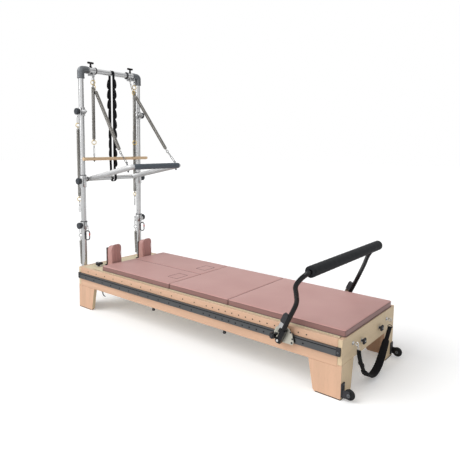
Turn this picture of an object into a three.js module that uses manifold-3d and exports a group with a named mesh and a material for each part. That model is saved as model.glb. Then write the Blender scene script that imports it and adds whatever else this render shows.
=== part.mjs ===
// A wooden reformer with a full-length mat, a footbar and a steel tube tower behind its head end.
// Millimetres. X runs from the tower to the foot end, Y from the near side to the far side, Z up from the floor.
import * as THREE from "three";
import { mergeVertices } from "three/addons/utils/BufferGeometryUtils.js";
import Module from "manifold-3d";

const wasm = await Module();
wasm.setup();

// Clearances and cutting
const TOUCH = 0.3; // gap between pieces that lie against each other
const RUNNING = 0.5; // gap round a piece that slides or turns
const OVERRUN = 2; // how far joined shapes reach into each other, and cutters past a face
const MERGE = 0.001; // vertices closer than this are one
const TUBE_SIDES = 16;
const ROD_SIDES = 8;
const KNOB_SIDES = 12;

// Wooden frame
const FRAME_LENGTH = 2400;
const FRAME_WIDTH = 764;
const FRAME_TOP = 343;
const BOARD = 27; // thickness of rails, end boards and legs
const RAIL_BOTTOM = 187;
const END_BOARD_BOTTOM = 197;
const LEG_TOP_WIDTH = 205;
const LEG_FOOT_WIDTH = 172;
const LEG_END_TOP_WIDTH = 152;
const LEG_END_FOOT_WIDTH = 130;
const LEG_CORNER = 14; // rounding of a leg's lower corner
const POST = 45; // square corner post inside the frame
const POST_FOOT = 60;
const POST_TOP = 320;
const LEDGE_DEPTH = 40;
const LEDGE_BOTTOM = 270;
const LEDGE_TOP = 288;
const LEDGE_INSET = 80; // from the outer end faces
const DECK_LENGTH = 121;
const DECK_THICKNESS = 20;

// Carriage and infill boards
const CARRIAGE_START = 150;
const MAT_BOARD = 20;
const MAT_BOARD_TOP = 344.7;
const MAT_BOARD_SIDE_GAP = 5; // to the rails
const MAT_SINK = 1; // how far an infill mat's cushion reaches into its board
const BATTEN_WIDTH = 20;
const BATTEN_INSET = 4; // from the board's edge
const BOARD_JOINT = 1.5; // half the gap between two boards
const WHEEL_RADIUS = 16;
const WHEEL_WIDTH = 22;
const WHEEL_END_INSET = 55;
const AXLE_BLOCK = 30;
const SPRING_POST_DEPTH = 25;
const SPRING_POST_WIDTH = 290;
const SPRING_POST_BOTTOM = 240;
const SPRING_POST_INSET = 5;
const SPRING_BAR_X = 1750;
const SPRING_BAR_RADIUS = 12;
const CARRIAGE_SPRING_Z = 255;
const CARRIAGE_SPRING_RADIUS = 13;
const CARRIAGE_SPRING_PITCH = 66;
const CARRIAGE_SPRINGS = 4;

// Mats
const MAT_START = 260;
const MAT_END = FRAME_LENGTH - 4;
const MAT_NEAR = 42;
const MAT_FAR = FRAME_WIDTH - MAT_NEAR;
const MAT_TOP = 384;
const MAT_BOTTOM = 345;
const FIRST_SEAM = 1032;
const SECOND_SEAM = 1572;
const SEAM = 2; // gap between two mats
const MAT_EDGE = 7; // rounding of the top edge
const MAT_CROWN = 2.5; // rise of the middle above the flat top
const MAT_DRAW_IN = 2; // how far the sides pull in between the corners
const MAT_CORNER = 10;

// Shoulder rests
const SHOULDER_SPREAD = 170; // from the middle line
const PAD_FRONT = 236;
const PAD_DEPTH = 68;
const PAD_WIDTH = 90;
const PAD_TOP = 533;
const PAD_BOTTOM = 346;
const PAD_CORNER = 24;
const PAD_CROWN = 5;
const PLATE_THICKNESS = 17;
const PLATE_WIDTH = 88;
const PLATE_TOP = 500;
const SHOULDER_FOOT = 40;
const SHOULDER_FOOT_THICKNESS = 6;
const SHOULDER_POST_RADIUS = 6.5;
const SHOULDER_POST_INSET = 8; // of its middle from the foot's front edge
const SHOULDER_POST_LENGTH = 44;

// Clamp knob on the head deck and star knobs on the foot board
const HEAD_KNOB_X = 115;
const HEAD_KNOB_Y = 115;
const HEAD_KNOB_RADIUS = 35;
const HEAD_KNOB_THICKNESS = 22;
const HEAD_KNOB_NECK = 12;
const STAR_SPREAD = 132;
const STAR_Z = 266;
const STAR_RADIUS = 22;
const STAR_THICKNESS = 15;
const STAR_NECK = 12;
const KNOB_SCREW_RADIUS = 7;
const LOBE_DEPTH_SHARE = 0.16;

// Foot end
const EYE_SPREAD = 250;
const EYE_Z = 288;
const EYEBOLT_RADIUS = 5;
const EYEBOLT_REACH = 24;
const EYE_RADIUS = 10;
const STRAP_WIDTH = 52;
const STRAP_THICKNESS = 11;
const STRAP_DROP = 262; // from the eyes to the lowest point of the strap's middle line
const STRAP_START = FRAME_LENGTH + 7;
const WHEEL_SET_X = 44; // transport wheel centre past the end face
const WHEEL_SET_Y = 20;
const WHEEL_SET_Z = 41;
const TRANSPORT_RADIUS = 31;
const TRANSPORT_WIDTH = 18;
const TRANSPORT_RIM = 5;
const AXLE_RADIUS = 5;
const AXLE_HEAD = 4;
const BRACKET_PLATE = 6;
const BRACKET_WIDTH = 38;
const BRACKET_BOTTOM = 18;
const BRACKET_TOP = 96;
const BRACKET_CHEEK_TOP = 62;
const BRACKET_CHEEK_LENGTH = 50;

// Footbar tracks and carriers
const TRACK_START = 16;
const TRACK_END = FRAME_LENGTH - TRACK_START;
const TRACK_BOTTOM = 250;
const TRACK_TOP = 298;
const TRACK_DEPTH = 12;
const TRACK_GROOVE = 3;
const GROOVE_BOTTOM = 284;
const GROOVE_TOP = 290;
const HOLE_Z = 266;
const HOLE_RADIUS = 4;
const HOLE_DEPTH = 8;
const HOLE_START = 112;
const HOLE_PITCH = 108;
const WIDE_HOLES = 13;
const CLOSE_HOLES = 14;
const HOLE_SIDES = 6;
const CARRIER_X = 1978;
const CARRIER_LENGTH = 134;
const CARRIER_BOTTOM = 246;
const CARRIER_HEIGHT = 100;
const CARRIER_PLATE = 6;
const CARRIER_RUNNER = 8; // thickness between the plate and the track
const RUNNER_INSET = 12;
const RUNNER_LIP = 8;
const RUNNER_REACH = 9; // how far the lips reach over and under the track
const PLUNGER_X = 1997;
const PLUNGER_Z = 288;
const PLUNGER_PIN = 4;
const PLUNGER_BARREL = 9;
const PLUNGER_BARREL_LENGTH = 34;
const PLUNGER_KNOB_RADIUS = 20;
const PLUNGER_KNOB_LENGTH = 30;
const PLUNGER_TRAVEL = 12;

// Footbar
const FOOTBAR_TUBE = 14; // radius
const PIVOT_X = 2024;
const PIVOT_Z = 262;
const PIVOT_EYE = 17;
const PIVOT_CAP = 8;
const PIVOT_CAP_LENGTH = 9;
const ARM_GAP = 4.5; // between a carrier's plate and the arm
const KNEE_REACH = 119;
const KNEE_RISE = 260;
const FLARE_REACH = 131;
const FLARE_RISE = 342;
const FLARE_OUT = 60;
const GRIP_REACH = 212;
const GRIP_RISE = 447;
const GRIP_RADIUS = 33;
const GRIP_GAP = 3; // from the arm's tube to the foam's end
const FOAM_BORE_GAP = 0.4;
const ARM_STEPS = 16;
const BLOCK_WIDTH = 24;
const BLOCK_DEPTH = 26;
const BLOCK_START = 62; // along the arm, from the pivot
const BLOCK_END = 168;

// Tower tubes
const TOWER_X = -30;
const TOWER_SPREAD = 302.5;
const TUBE_RADIUS = 21.2;
const TUBE_WALL = 3;
const CROSSBAR_Z = 1974;
const UPRIGHT_FOOT = 60;
const ELBOW_RADIUS = 30;
const ELBOW_DOWN = 74; // from the corner to the lower mouth
const ELBOW_ACROSS = 64; // from the corner to the inner mouth
const ELBOW_STOP = 24; // from the corner to the end of a tube
const CLAMP_HALF_WIDTH = 30;
const CLAMP_BACK = 27;
const CLAMP_HEIGHT = 44;
const CLAMP_LOW = 110;
const CLAMP_HIGH = 270;

// Collars on the uprights
const COLLAR_RADIUS = 28;
const COLLAR_HEIGHT = 70;
const UPPER_COLLAR_DROP = 343; // under the crossbar
const UPPER_COLLAR_Z = CROSSBAR_Z - UPPER_COLLAR_DROP;
const MIDDLE_COLLAR_Z = 1057;
const MIDDLE_COLLAR_HEIGHT = 88;
const LOWER_COLLAR_Z = 681;
const KNOB_RADIUS = 27;
const KNOB_THICKNESS = 16;
const KNOB_NECK = 14;
const FRONT_EYE_REACH = 18;
const FRONT_EYE_RADIUS = 9;
const BACK_LUG_THICKNESS = 10;
const BACK_LUG_HEIGHT = 18;
const BACK_EYE_X = -84;
const WASHER_RADIUS = 21;
const WASHER_THICKNESS = 9;

// Sliders on the crossbar
const NEAR_SLIDER_SPREAD = 194; // from the middle line
const FAR_SLIDER_SPREAD = 202;
const SLIDER_RADIUS = 27;
const SLIDER_LENGTH = 70;
const FLANGE_RADIUS = 32;
const FLANGE_THICKNESS = 7;
const T_KNOB_OFFSET = 12; // outwards from the slider's middle
const T_KNOB_STEM = 6;
const T_KNOB_HEIGHT = 62; // of the cap's middle line above the crossbar's
const T_KNOB_CAP_RADIUS = 7;
const T_KNOB_CAP_LENGTH = 60;
const HANGER_BOTTOM = CROSSBAR_Z - 44;
const HANGER_THICKNESS = 9;
const HANGER_BACK = 20; // behind the crossbar's middle line
const ROLL_EYE_X = 12;
const ROLL_EYE_OFFSET = 22; // outwards from the slider's middle
const PUSH_EYE_X = -14;
const PUSH_EYE_OFFSET = 6; // inwards
const EYE_MARGIN = 7;

// Push-through bar
const PUSH_PIVOT_Z = 1072;
const PUSH_ROOT_SPREAD = 232;
const PUSH_TIP_SPREAD = 264;
const PUSH_REACH = 573;
const PUSH_RISE = 124;
const PUSH_TUBE = 19;
const PUSH_ARM = 21.2;
const PUSH_CORNER = 22;
const PUSH_GRIP_RADIUS = 22.5;
const PUSH_GRIP_GAP = 22.5; // from an arm's middle line
const HOOK_SHARE = 0.919; // of the arm, from the pivot to the eyebolt
const HOOK_STEM = 4;
const HOOK_ABOVE = 38;
const HOOK_BELOW = 32;
const HOOK_BALL = 8;

// Springs
const COIL_RADIUS = 12.2; // of the wire's middle line
const WIRE = 1.8; // radius
const CURL_STEPS = 8;
const WIRE_SIDES = 5;
const HELIX_BLEND_SHARE = 0.5; // of a curl, where the wire leaves and meets the axis
const ROLL_COIL_TOP = HANGER_BOTTOM - 98;
const ROLL_COIL_BOTTOM = 1410;
const ROLL_CURLS = 10;
// Start and end of a push spring's coil: share of the straight way between its eyes, and drop under it
const PUSH_COILS = {
  near: [
    [0.068, 85],
    [0.774, 52],
  ],
  far: [
    [0.147, 42],
    [0.799, 28],
  ],
};
const PUSH_CURLS = 12;
const LEG_COIL_TOP = UPPER_COLLAR_Z - 145;
const LEG_COIL_BOTTOM = 932;
const LEG_CURLS = 12;
const LEG_HOOK_END = 790;
const LOWER_COIL_TOP = 540;
const LOWER_COIL_BOTTOM = 346;
const LOWER_CURLS = 5;
const LOWER_EYE_X = -66;

// Roll-down bar
const ROLL_BAR_Z = 1242;
const ROLL_BAR_LENGTH = 696;
const ROLL_BAR_SHIFT = 18; // of the bar's middle towards the far side
const ROLL_BAR_RADIUS = 14;
const ROLL_BAR_END = 5; // rounding

// Loop strap over the crossbar
const LOOP_Y = FRAME_WIDTH / 2 + 8;
const LOOP_WIDTH = 25;
const LOOP_THICKNESS = 3;
const LOOP_FIRST = CROSSBAR_Z - 49;
const LOOP_FRONT_RUN = 863; // under the first loop's start
const LOOP_BACK_RUN = 775;
const LOOP_FRONT_END = LOOP_FIRST - LOOP_FRONT_RUN;
const LOOP_BACK_END = LOOP_FIRST - LOOP_BACK_RUN;
const LOOP_SLACK = 3; // of each leg, out from the crossbar
const LOOP_PITCH = 86;
const LOOPS = 7;
const LOOP_BULGE = 24;
const LOOP_ARC_STEPS = 8;

// Colours
const MAPLE = { color: 0xe3bf9d, roughness: 0.55, metalness: 0 };
const PLY = { color: 0xe0d3a8, roughness: 0.6, metalness: 0 };
const VINYL = { color: 0xc69d97, roughness: 0.5, metalness: 0 };
const STEEL = { color: 0xd5d7da, roughness: 0.25, metalness: 0.9 };
const ALUMINIUM = { color: 0x8d9298, roughness: 0.4, metalness: 0.8 };
const ELBOW_GREY = { color: 0x8e9299, roughness: 0.45, metalness: 0.6 };
const BLACK = { color: 0x15161a, roughness: 0.5, metalness: 0 };
const BLACK_PAINT = { color: 0x111214, roughness: 0.3, metalness: 0.2 };
const FOAM = { color: 0x2b3036, roughness: 0.85, metalness: 0 };
const SLATE_FOAM = { color: 0x4c545e, roughness: 0.8, metalness: 0 };
const SPRING_STEEL = { color: 0x7f7a73, roughness: 0.35, metalness: 0.9 };
const BIRCH = { color: 0xc9965f, roughness: 0.5, metalness: 0 };
const WEBBING = { color: 0x16171a, roughness: 0.9, metalness: 0 };
const RUBBER = { color: 0x1b1b1d, roughness: 0.85, metalness: 0 };

const MIDDLE_Y = FRAME_WIDTH / 2;
const SIDES = [
  { name: "near", out: -1 },
  { name: "far", out: 1 },
];
const part = new THREE.Group();

// Places and directions
const at = (x, y, z) => new THREE.Vector3(x, y, z);
const flip = (y, side) => (side.out < 0 ? y : FRAME_WIDTH - y); // mirrors a near-side Y to the far side
const spread = (side, distance) => MIDDLE_Y + side.out * distance;

// Adds one named piece to the part.
function piece(name, geometry, finish) {
  const mesh = new THREE.Mesh(geometry, new THREE.MeshStandardMaterial(finish));
  mesh.name = name;
  part.add(mesh);
  return mesh;
}

// Joining and cutting
function solidOf(geometry) {
  const bare = geometry.clone();
  bare.deleteAttribute("normal");
  bare.deleteAttribute("uv");
  const merged = mergeVertices(bare, MERGE);
  return new wasm.Manifold(
    new wasm.Mesh({
      numProp: 3,
      vertProperties: merged.attributes.position.array,
      triVerts: new Uint32Array(merged.index.array),
    }),
  );
}

function geometryOf(body) {
  const mesh = body.getMesh();
  const geometry = new THREE.BufferGeometry();
  const places = new Float32Array(mesh.numVert * 3);
  for (let i = 0; i < mesh.numVert; i++) {
    const start = i * mesh.numProp;
    places.set(mesh.vertProperties.subarray(start, start + 3), i * 3);
  }
  geometry.setAttribute("position", new THREE.BufferAttribute(places, 3));
  geometry.setIndex(new THREE.BufferAttribute(new Uint32Array(mesh.triVerts), 1));
  geometry.computeVertexNormals();
  return geometry;
}

function join(...geometries) {
  return geometryOf(geometries.map(solidOf).reduce((a, b) => a.add(b)));
}

function cut(geometry, ...tools) {
  return geometryOf(tools.map(solidOf).reduce((a, b) => a.subtract(b), solidOf(geometry)));
}

// Basic shapes
function box(x0, x1, y0, y1, z0, z1) {
  const shape = new THREE.BoxGeometry(Math.abs(x1 - x0), Math.abs(y1 - y0), Math.abs(z1 - z0));
  return shape.translate((x0 + x1) / 2, (y0 + y1) / 2, (z0 + z1) / 2);
}

// Turns a shape built along +Y so that it starts at one point and runs towards another.
function aim(geometry, from, to) {
  const direction = to.clone().sub(from).normalize();
  const turn = new THREE.Quaternion().setFromUnitVectors(at(0, 1, 0), direction);
  return geometry.applyQuaternion(turn).translate(from.x, from.y, from.z);
}

function rod(from, to, radius, sides = ROD_SIDES) {
  const length = from.distanceTo(to);
  const shape = new THREE.CylinderGeometry(radius, radius, length, sides);
  return aim(shape.translate(0, length / 2, 0), from, to);
}

function ball(centre, radius, sides = ROD_SIDES) {
  return new THREE.SphereGeometry(radius, sides, sides / 2).translate(centre.x, centre.y, centre.z);
}

// A turned shape: its profile is a list of [radius, distance along the axis] that starts and ends on the axis.
function turned(profile, from, to, sides = KNOB_SIDES) {
  const outline = profile.map(([radius, along]) => new THREE.Vector2(radius, along));
  return aim(new THREE.LatheGeometry(outline, sides), from, to);
}

const extruded = (outline, depth) =>
  new THREE.ExtrudeGeometry(new THREE.Shape(outline.map(([a, b]) => new THREE.Vector2(a, b))), {
    depth,
    bevelEnabled: false,
  });

// A slab whose outline lies in X and Z, between two places on Y.
function slabAcross(outline, y0, y1) {
  const shape = extruded(outline, Math.abs(y1 - y0));
  return shape.rotateX(Math.PI / 2).translate(0, Math.max(y0, y1), 0);
}

// A slab whose outline lies in Y and Z, between two places on X.
function slabAlong(outline, x0, x1) {
  const turn = new THREE.Matrix4().makeBasis(at(0, 1, 0), at(0, 0, 1), at(1, 0, 0));
  return extruded(outline, x1 - x0).applyMatrix4(turn).translate(x0, 0, 0);
}

// A knob with soft lobes round its rim, built along its own axis between two points.
function lobedKnob(from, to, radius, lobes) {
  const steps = lobes * 6;
  const outline = [];
  for (let i = 0; i < steps; i++) {
    const angle = (i / steps) * 2 * Math.PI;
    const reach = radius * (1 - LOBE_DEPTH_SHARE * (1 - Math.cos(lobes * angle)));
    outline.push([reach * Math.cos(angle), reach * Math.sin(angle)]);
  }
  const shape = extruded(outline, from.distanceTo(to)).rotateX(-Math.PI / 2);
  return aim(shape, from, to);
}

// Corner points of a rectangle with rounded corners, counter-clockwise.
function roundedRectangle(x0, x1, y0, y1, radius, steps) {
  const corners = [
    [x1 - radius, y1 - radius, 0],
    [x0 + radius, y1 - radius, 1],
    [x0 + radius, y0 + radius, 2],
    [x1 - radius, y0 + radius, 3],
  ];
  const points = [];
  for (const [x, y, quarter] of corners)
    for (let i = 0; i <= steps; i++) {
      const angle = ((quarter + i / steps) * Math.PI) / 2;
      points.push([x + radius * Math.cos(angle), y + radius * Math.sin(angle)]);
    }
  return points;
}

// A closed skin over rings of points: the first and last rings end in a point at their middle.
function skin(rings, start, end) {
  const count = rings[0].length;
  const places = [start, ...rings.flat(), end].flatMap((p) => [p.x, p.y, p.z]);
  const faces = [];
  const ringStart = (ring) => 1 + ring * count;
  const last = places.length / 3 - 1;
  for (let i = 0; i < count; i++) {
    const next = (i + 1) % count;
    faces.push(0, ringStart(0) + next, ringStart(0) + i);
    for (let ring = 0; ring + 1 < rings.length; ring++) {
      const low = ringStart(ring);
      const high = ringStart(ring + 1);
      faces.push(low + i, low + next, high + next, low + i, high + next, high + i);
    }
    faces.push(last, ringStart(rings.length - 1) + i, ringStart(rings.length - 1) + next);
  }
  const geometry = new THREE.BufferGeometry();
  geometry.setAttribute("position", new THREE.Float32BufferAttribute(places, 3));
  geometry.setIndex(faces);
  return geometry;
}

// Wooden frame
function sideRail(side) {
  const inside = flip(BOARD, side);
  const rail = box(BOARD + TOUCH, FRAME_LENGTH - BOARD - TOUCH, flip(0, side), inside, RAIL_BOTTOM, FRAME_TOP);
  const ledgeRoot = flip(BOARD - OVERRUN, side);
  const ledgeEdge = flip(BOARD + LEDGE_DEPTH, side);
  const ledge = box(LEDGE_INSET, FRAME_LENGTH - LEDGE_INSET, ledgeRoot, ledgeEdge, LEDGE_BOTTOM, LEDGE_TOP);
  return join(rail, ledge);
}

// A leg's outline from its outer edge: width at the top, width at the foot and height.
function legOutline(topWidth, footWidth, height) {
  return [
    [0, 0],
    [footWidth - LEG_CORNER, 0],
    [footWidth, LEG_CORNER],
    [topWidth, height],
    [0, height],
  ];
}

function leg(side, end) {
  const alongX = (x) => (end === "head" ? x : FRAME_LENGTH - x);
  const sidePlate = slabAcross(
    legOutline(LEG_TOP_WIDTH, LEG_FOOT_WIDTH, RAIL_BOTTOM - TOUCH).map(([x, z]) => [alongX(x), z]),
    flip(0, side),
    flip(BOARD, side),
  );
  const endOutline = legOutline(LEG_END_TOP_WIDTH, LEG_END_FOOT_WIDTH, END_BOARD_BOTTOM - TOUCH);
  const endPlate = slabAlong(
    endOutline.map(([y, z]) => [flip(y, side), z]),
    Math.min(alongX(0), alongX(BOARD)),
    Math.max(alongX(0), alongX(BOARD)),
  );
  const root = BOARD - OVERRUN;
  const seat = BOARD + TOUCH;
  const reach = BOARD + POST;
  const lowPost = box(alongX(root), alongX(reach), flip(root, side), flip(reach, side), POST_FOOT, RAIL_BOTTOM - TOUCH);
  const highPost = box(
    alongX(seat),
    alongX(reach),
    flip(seat, side),
    flip(reach, side),
    RAIL_BOTTOM - BOARD,
    POST_TOP,
  );
  return join(sidePlate, endPlate, lowPost, highPost);
}

function endBoard(x0) {
  return box(x0, x0 + BOARD, 0, FRAME_WIDTH, END_BOARD_BOTTOM, FRAME_TOP);
}

function buildFrame() {
  for (const side of SIDES) {
    piece("side_rail_" + side.name, sideRail(side), MAPLE);
    piece("leg_head_" + side.name, leg(side, "head"), MAPLE);
    piece("leg_foot_" + side.name, leg(side, "foot"), MAPLE);
  }
  piece("head_board", endBoard(0), MAPLE);
  piece("foot_board", endBoard(FRAME_LENGTH - BOARD), MAPLE);
  const inset = BOARD + TOUCH;
  const deck = box(
    inset,
    BOARD + DECK_LENGTH,
    inset,
    FRAME_WIDTH - inset,
    FRAME_TOP - DECK_THICKNESS,
    FRAME_TOP,
  );
  piece("head_deck", deck, PLY);
}

// A board that carries a mat, with its near and far edges just inside the rails.
function matBoard(x0, x1) {
  const edge = BOARD + MAT_BOARD_SIDE_GAP;
  return box(x0, x1, edge, FRAME_WIDTH - edge, MAT_BOARD_TOP - MAT_BOARD, MAT_BOARD_TOP);
}

// Two strips under a mat board that stand on the ledges.
function battens(x0, x1) {
  const edge = BOARD + MAT_BOARD_SIDE_GAP + BATTEN_INSET;
  const top = MAT_BOARD_TOP - MAT_BOARD + OVERRUN;
  return SIDES.map((side) =>
    box(x0, x1, flip(edge, side), flip(edge + BATTEN_WIDTH, side), LEDGE_TOP + TOUCH, top),
  );
}

// A cushion with a soft top edge, sides drawn in between its corners and a low crown.
function cushion(x0, x1, y0, y1, bottom = MAT_BOTTOM) {
  const middle = at((x0 + x1) / 2, (y0 + y1) / 2, 0);
  const plan = [];
  const corners = roundedRectangle(x0, x1, y0, y1, MAT_CORNER, 2);
  corners.forEach(([x, y], i) => {
    plan.push([x, y]);
    const [nextX, nextY] = corners[(i + 1) % corners.length];
    if (Math.hypot(nextX - x, nextY - y) > MAT_CORNER)
      for (const share of [0.2, 0.5, 0.8]) plan.push([x + (nextX - x) * share, y + (nextY - y) * share]);
  });
  const halfX = (x1 - x0) / 2;
  const halfY = (y1 - y0) / 2;
  const ring = (inset, z, drawn) =>
    plan.map(([x, y]) => {
      const across = (x - middle.x) / halfX;
      const along = (y - middle.y) / halfY;
      const bowX = drawn * (1 - along * along);
      const bowY = drawn * (1 - across * across);
      return at(middle.x + across * (halfX - inset - bowX), middle.y + along * (halfY - inset - bowY), z);
    });
  const half = (MAT_TOP + bottom) / 2;
  const rings = [
    ring(0, bottom, 0),
    ring(0, half, MAT_DRAW_IN),
    ring(0, MAT_TOP - MAT_EDGE, MAT_DRAW_IN / 2),
    ring(MAT_EDGE, MAT_TOP, 0),
    ring(halfY / 2, MAT_TOP + MAT_CROWN, 0),
  ];
  return skin(rings, at(middle.x, middle.y, bottom), at(middle.x, middle.y, MAT_TOP + MAT_CROWN));
}

function carriage() {
  const end = FIRST_SEAM - BOARD_JOINT;
  const wheelY = BOARD + MAT_BOARD_SIDE_GAP + BATTEN_INSET;
  const wheelZ = LEDGE_TOP + TOUCH + WHEEL_RADIUS;
  const parts = [matBoard(CARRIAGE_START, end)];
  for (const side of SIDES)
    for (const x of [CARRIAGE_START + WHEEL_END_INSET, end - WHEEL_END_INSET]) {
      const inner = flip(wheelY + WHEEL_WIDTH, side);
      const block = flip(wheelY + WHEEL_WIDTH + AXLE_BLOCK, side);
      parts.push(rod(at(x, flip(wheelY, side), wheelZ), at(x, inner, wheelZ), WHEEL_RADIUS, KNOB_SIDES));
      parts.push(rod(at(x, flip(wheelY + OVERRUN, side), wheelZ), at(x, block, wheelZ), AXLE_RADIUS));
      const top = MAT_BOARD_TOP - MAT_BOARD + OVERRUN;
      parts.push(box(x - AXLE_BLOCK / 2, x + AXLE_BLOCK / 2, inner, block, wheelZ - AXLE_RADIUS - OVERRUN, top));
    }
  const postEnd = end - SPRING_POST_INSET;
  const postNear = MIDDLE_Y - SPRING_POST_WIDTH / 2;
  const postTop = MAT_BOARD_TOP - MAT_BOARD + OVERRUN;
  const postFar = MIDDLE_Y + SPRING_POST_WIDTH / 2;
  parts.push(box(postEnd - SPRING_POST_DEPTH, postEnd, postNear, postFar, SPRING_POST_BOTTOM, postTop));
  const holes = SIDES.map((side) => {
    const place = shoulderPost(side);
    return rod(
      at(place.x, place.y, MAT_BOARD_TOP - MAT_BOARD - OVERRUN),
      at(place.x, place.y, MAT_BOARD_TOP + OVERRUN),
      SHOULDER_POST_RADIUS + RUNNING,
    );
  });
  return cut(join(...parts), ...holes);
}

// The spring bar with the carriage springs hooked over it, under the carriage.
function carriageSprings() {
  const start = FIRST_SEAM - BOARD_JOINT - SPRING_POST_INSET + TOUCH;
  const bar = rod(
    at(SPRING_BAR_X, BOARD + TOUCH, CARRIAGE_SPRING_Z),
    at(SPRING_BAR_X, FRAME_WIDTH - BOARD - TOUCH, CARRIAGE_SPRING_Z),
    SPRING_BAR_RADIUS,
    KNOB_SIDES,
  );
  const parts = [bar];
  for (let i = 0; i < CARRIAGE_SPRINGS; i++) {
    const y = MIDDLE_Y + (i - (CARRIAGE_SPRINGS - 1) / 2) * CARRIAGE_SPRING_PITCH;
    const from = at(start, y, CARRIAGE_SPRING_Z);
    parts.push(rod(from, at(SPRING_BAR_X, y, CARRIAGE_SPRING_Z), CARRIAGE_SPRING_RADIUS));
  }
  return join(...parts);
}

function buildMats() {
  piece("carriage", carriage(), PLY);
  piece("carriage_springs", carriageSprings(), SPRING_STEEL);
  const end = FIRST_SEAM - SEAM / 2;
  piece("head_mat_near", cushion(MAT_START, end, MAT_NEAR, MIDDLE_Y - SEAM / 2), VINYL);
  piece("head_mat_far", cushion(MAT_START, end, MIDDLE_Y + SEAM / 2, MAT_FAR), VINYL);
  const infill = (x0, x1, boardEnd, battenEnd) =>
    join(
      cushion(x0 + SEAM / 2, x1 - SEAM / 2, MAT_NEAR, MAT_FAR, MAT_BOARD_TOP - MAT_SINK),
      matBoard(x0 + BOARD_JOINT, boardEnd),
      ...battens(x0 + BOARD_JOINT, battenEnd),
    );
  const middleEnd = SECOND_SEAM - BOARD_JOINT;
  piece("middle_mat", infill(FIRST_SEAM, SECOND_SEAM, middleEnd, middleEnd), VINYL);
  const footBoardEnd = FRAME_LENGTH - BOARD - MAT_BOARD_SIDE_GAP;
  piece("foot_mat", infill(SECOND_SEAM, MAT_END, footBoardEnd, FRAME_LENGTH - LEDGE_INSET), VINYL);
}

// Shoulder rests
function shoulderPost(side) {
  const back = PAD_FRONT - PAD_DEPTH - TOUCH;
  return at(back - SHOULDER_POST_INSET, spread(side, SHOULDER_SPREAD), MAT_BOARD_TOP + TOUCH);
}

function shoulderPad(side) {
  const y = spread(side, SHOULDER_SPREAD);
  const plan = roundedRectangle(
    -PAD_WIDTH / 2,
    PAD_WIDTH / 2,
    PAD_BOTTOM,
    PAD_TOP,
    PAD_CORNER,
    3,
  );
  const middleZ = (PAD_BOTTOM + PAD_TOP) / 2;
  const ring = (x, shrink) =>
    plan.map(([across, z]) => at(x, y + across * (1 - shrink), middleZ + (z - middleZ) * (1 - shrink / 2)));
  const back = PAD_FRONT - PAD_DEPTH;
  const edge = PAD_CROWN / PAD_WIDTH;
  const rings = [
    ring(back, 2 * edge),
    ring(back + PAD_CROWN, 0),
    ring(PAD_FRONT - 2 * PAD_CROWN, 0),
    ring(PAD_FRONT - PAD_CROWN / 2, 2 * edge),
    ring(PAD_FRONT, 8 * edge),
  ];
  return skin(rings, at(back, y, middleZ), at(PAD_FRONT, y, middleZ));
}

function shoulderBracket(side) {
  const y = spread(side, SHOULDER_SPREAD);
  const front = PAD_FRONT - PAD_DEPTH - TOUCH;
  const bottom = MAT_BOARD_TOP + TOUCH;
  const plate = box(front - PLATE_THICKNESS, front, y - PLATE_WIDTH / 2, y + PLATE_WIDTH / 2, bottom, PLATE_TOP);
  const foot = box(
    front - SHOULDER_FOOT,
    front,
    y - PLATE_WIDTH / 2,
    y + PLATE_WIDTH / 2,
    bottom,
    bottom + SHOULDER_FOOT_THICKNESS,
  );
  const top = shoulderPost(side);
  const low = at(top.x, top.y, top.z - SHOULDER_POST_LENGTH);
  const post = rod(low, at(top.x, top.y, top.z + OVERRUN), SHOULDER_POST_RADIUS);
  return join(plate, foot, post);
}

function buildShoulderRests() {
  for (const side of SIDES) {
    piece("shoulder_pad_" + side.name, shoulderPad(side), VINYL);
    piece("shoulder_bracket_" + side.name, shoulderBracket(side), BLACK);
  }
}

// A clamping knob: a screw neck and a lobed head, standing on a face.
function clampKnob(face, direction, neck, thickness, radius, lobes) {
  const along = (distance) => face.clone().addScaledVector(direction, distance);
  const screw = rod(along(TOUCH), along(neck + OVERRUN), KNOB_SCREW_RADIUS);
  return join(screw, lobedKnob(along(neck), along(neck + thickness), radius, lobes));
}

// Foot end
function transportWheel(side) {
  const x = FRAME_LENGTH + WHEEL_SET_X;
  const half = TRANSPORT_WIDTH / 2;
  const from = at(x, flip(WHEEL_SET_Y, side) - half, WHEEL_SET_Z);
  const to = at(x, flip(WHEEL_SET_Y, side) + half, WHEEL_SET_Z);
  const profile = [
    [0, 0],
    [TRANSPORT_RADIUS - TRANSPORT_RIM, 0],
    [TRANSPORT_RADIUS, TRANSPORT_RIM],
    [TRANSPORT_RADIUS, TRANSPORT_WIDTH - TRANSPORT_RIM],
    [TRANSPORT_RADIUS - TRANSPORT_RIM, TRANSPORT_WIDTH],
    [0, TRANSPORT_WIDTH],
  ];
  const wheel = turned(profile, from, to, 2 * KNOB_SIDES);
  return cut(wheel, rod(from.clone().setY(from.y - OVERRUN), to.clone().setY(to.y + OVERRUN), AXLE_RADIUS + RUNNING));
}

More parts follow.
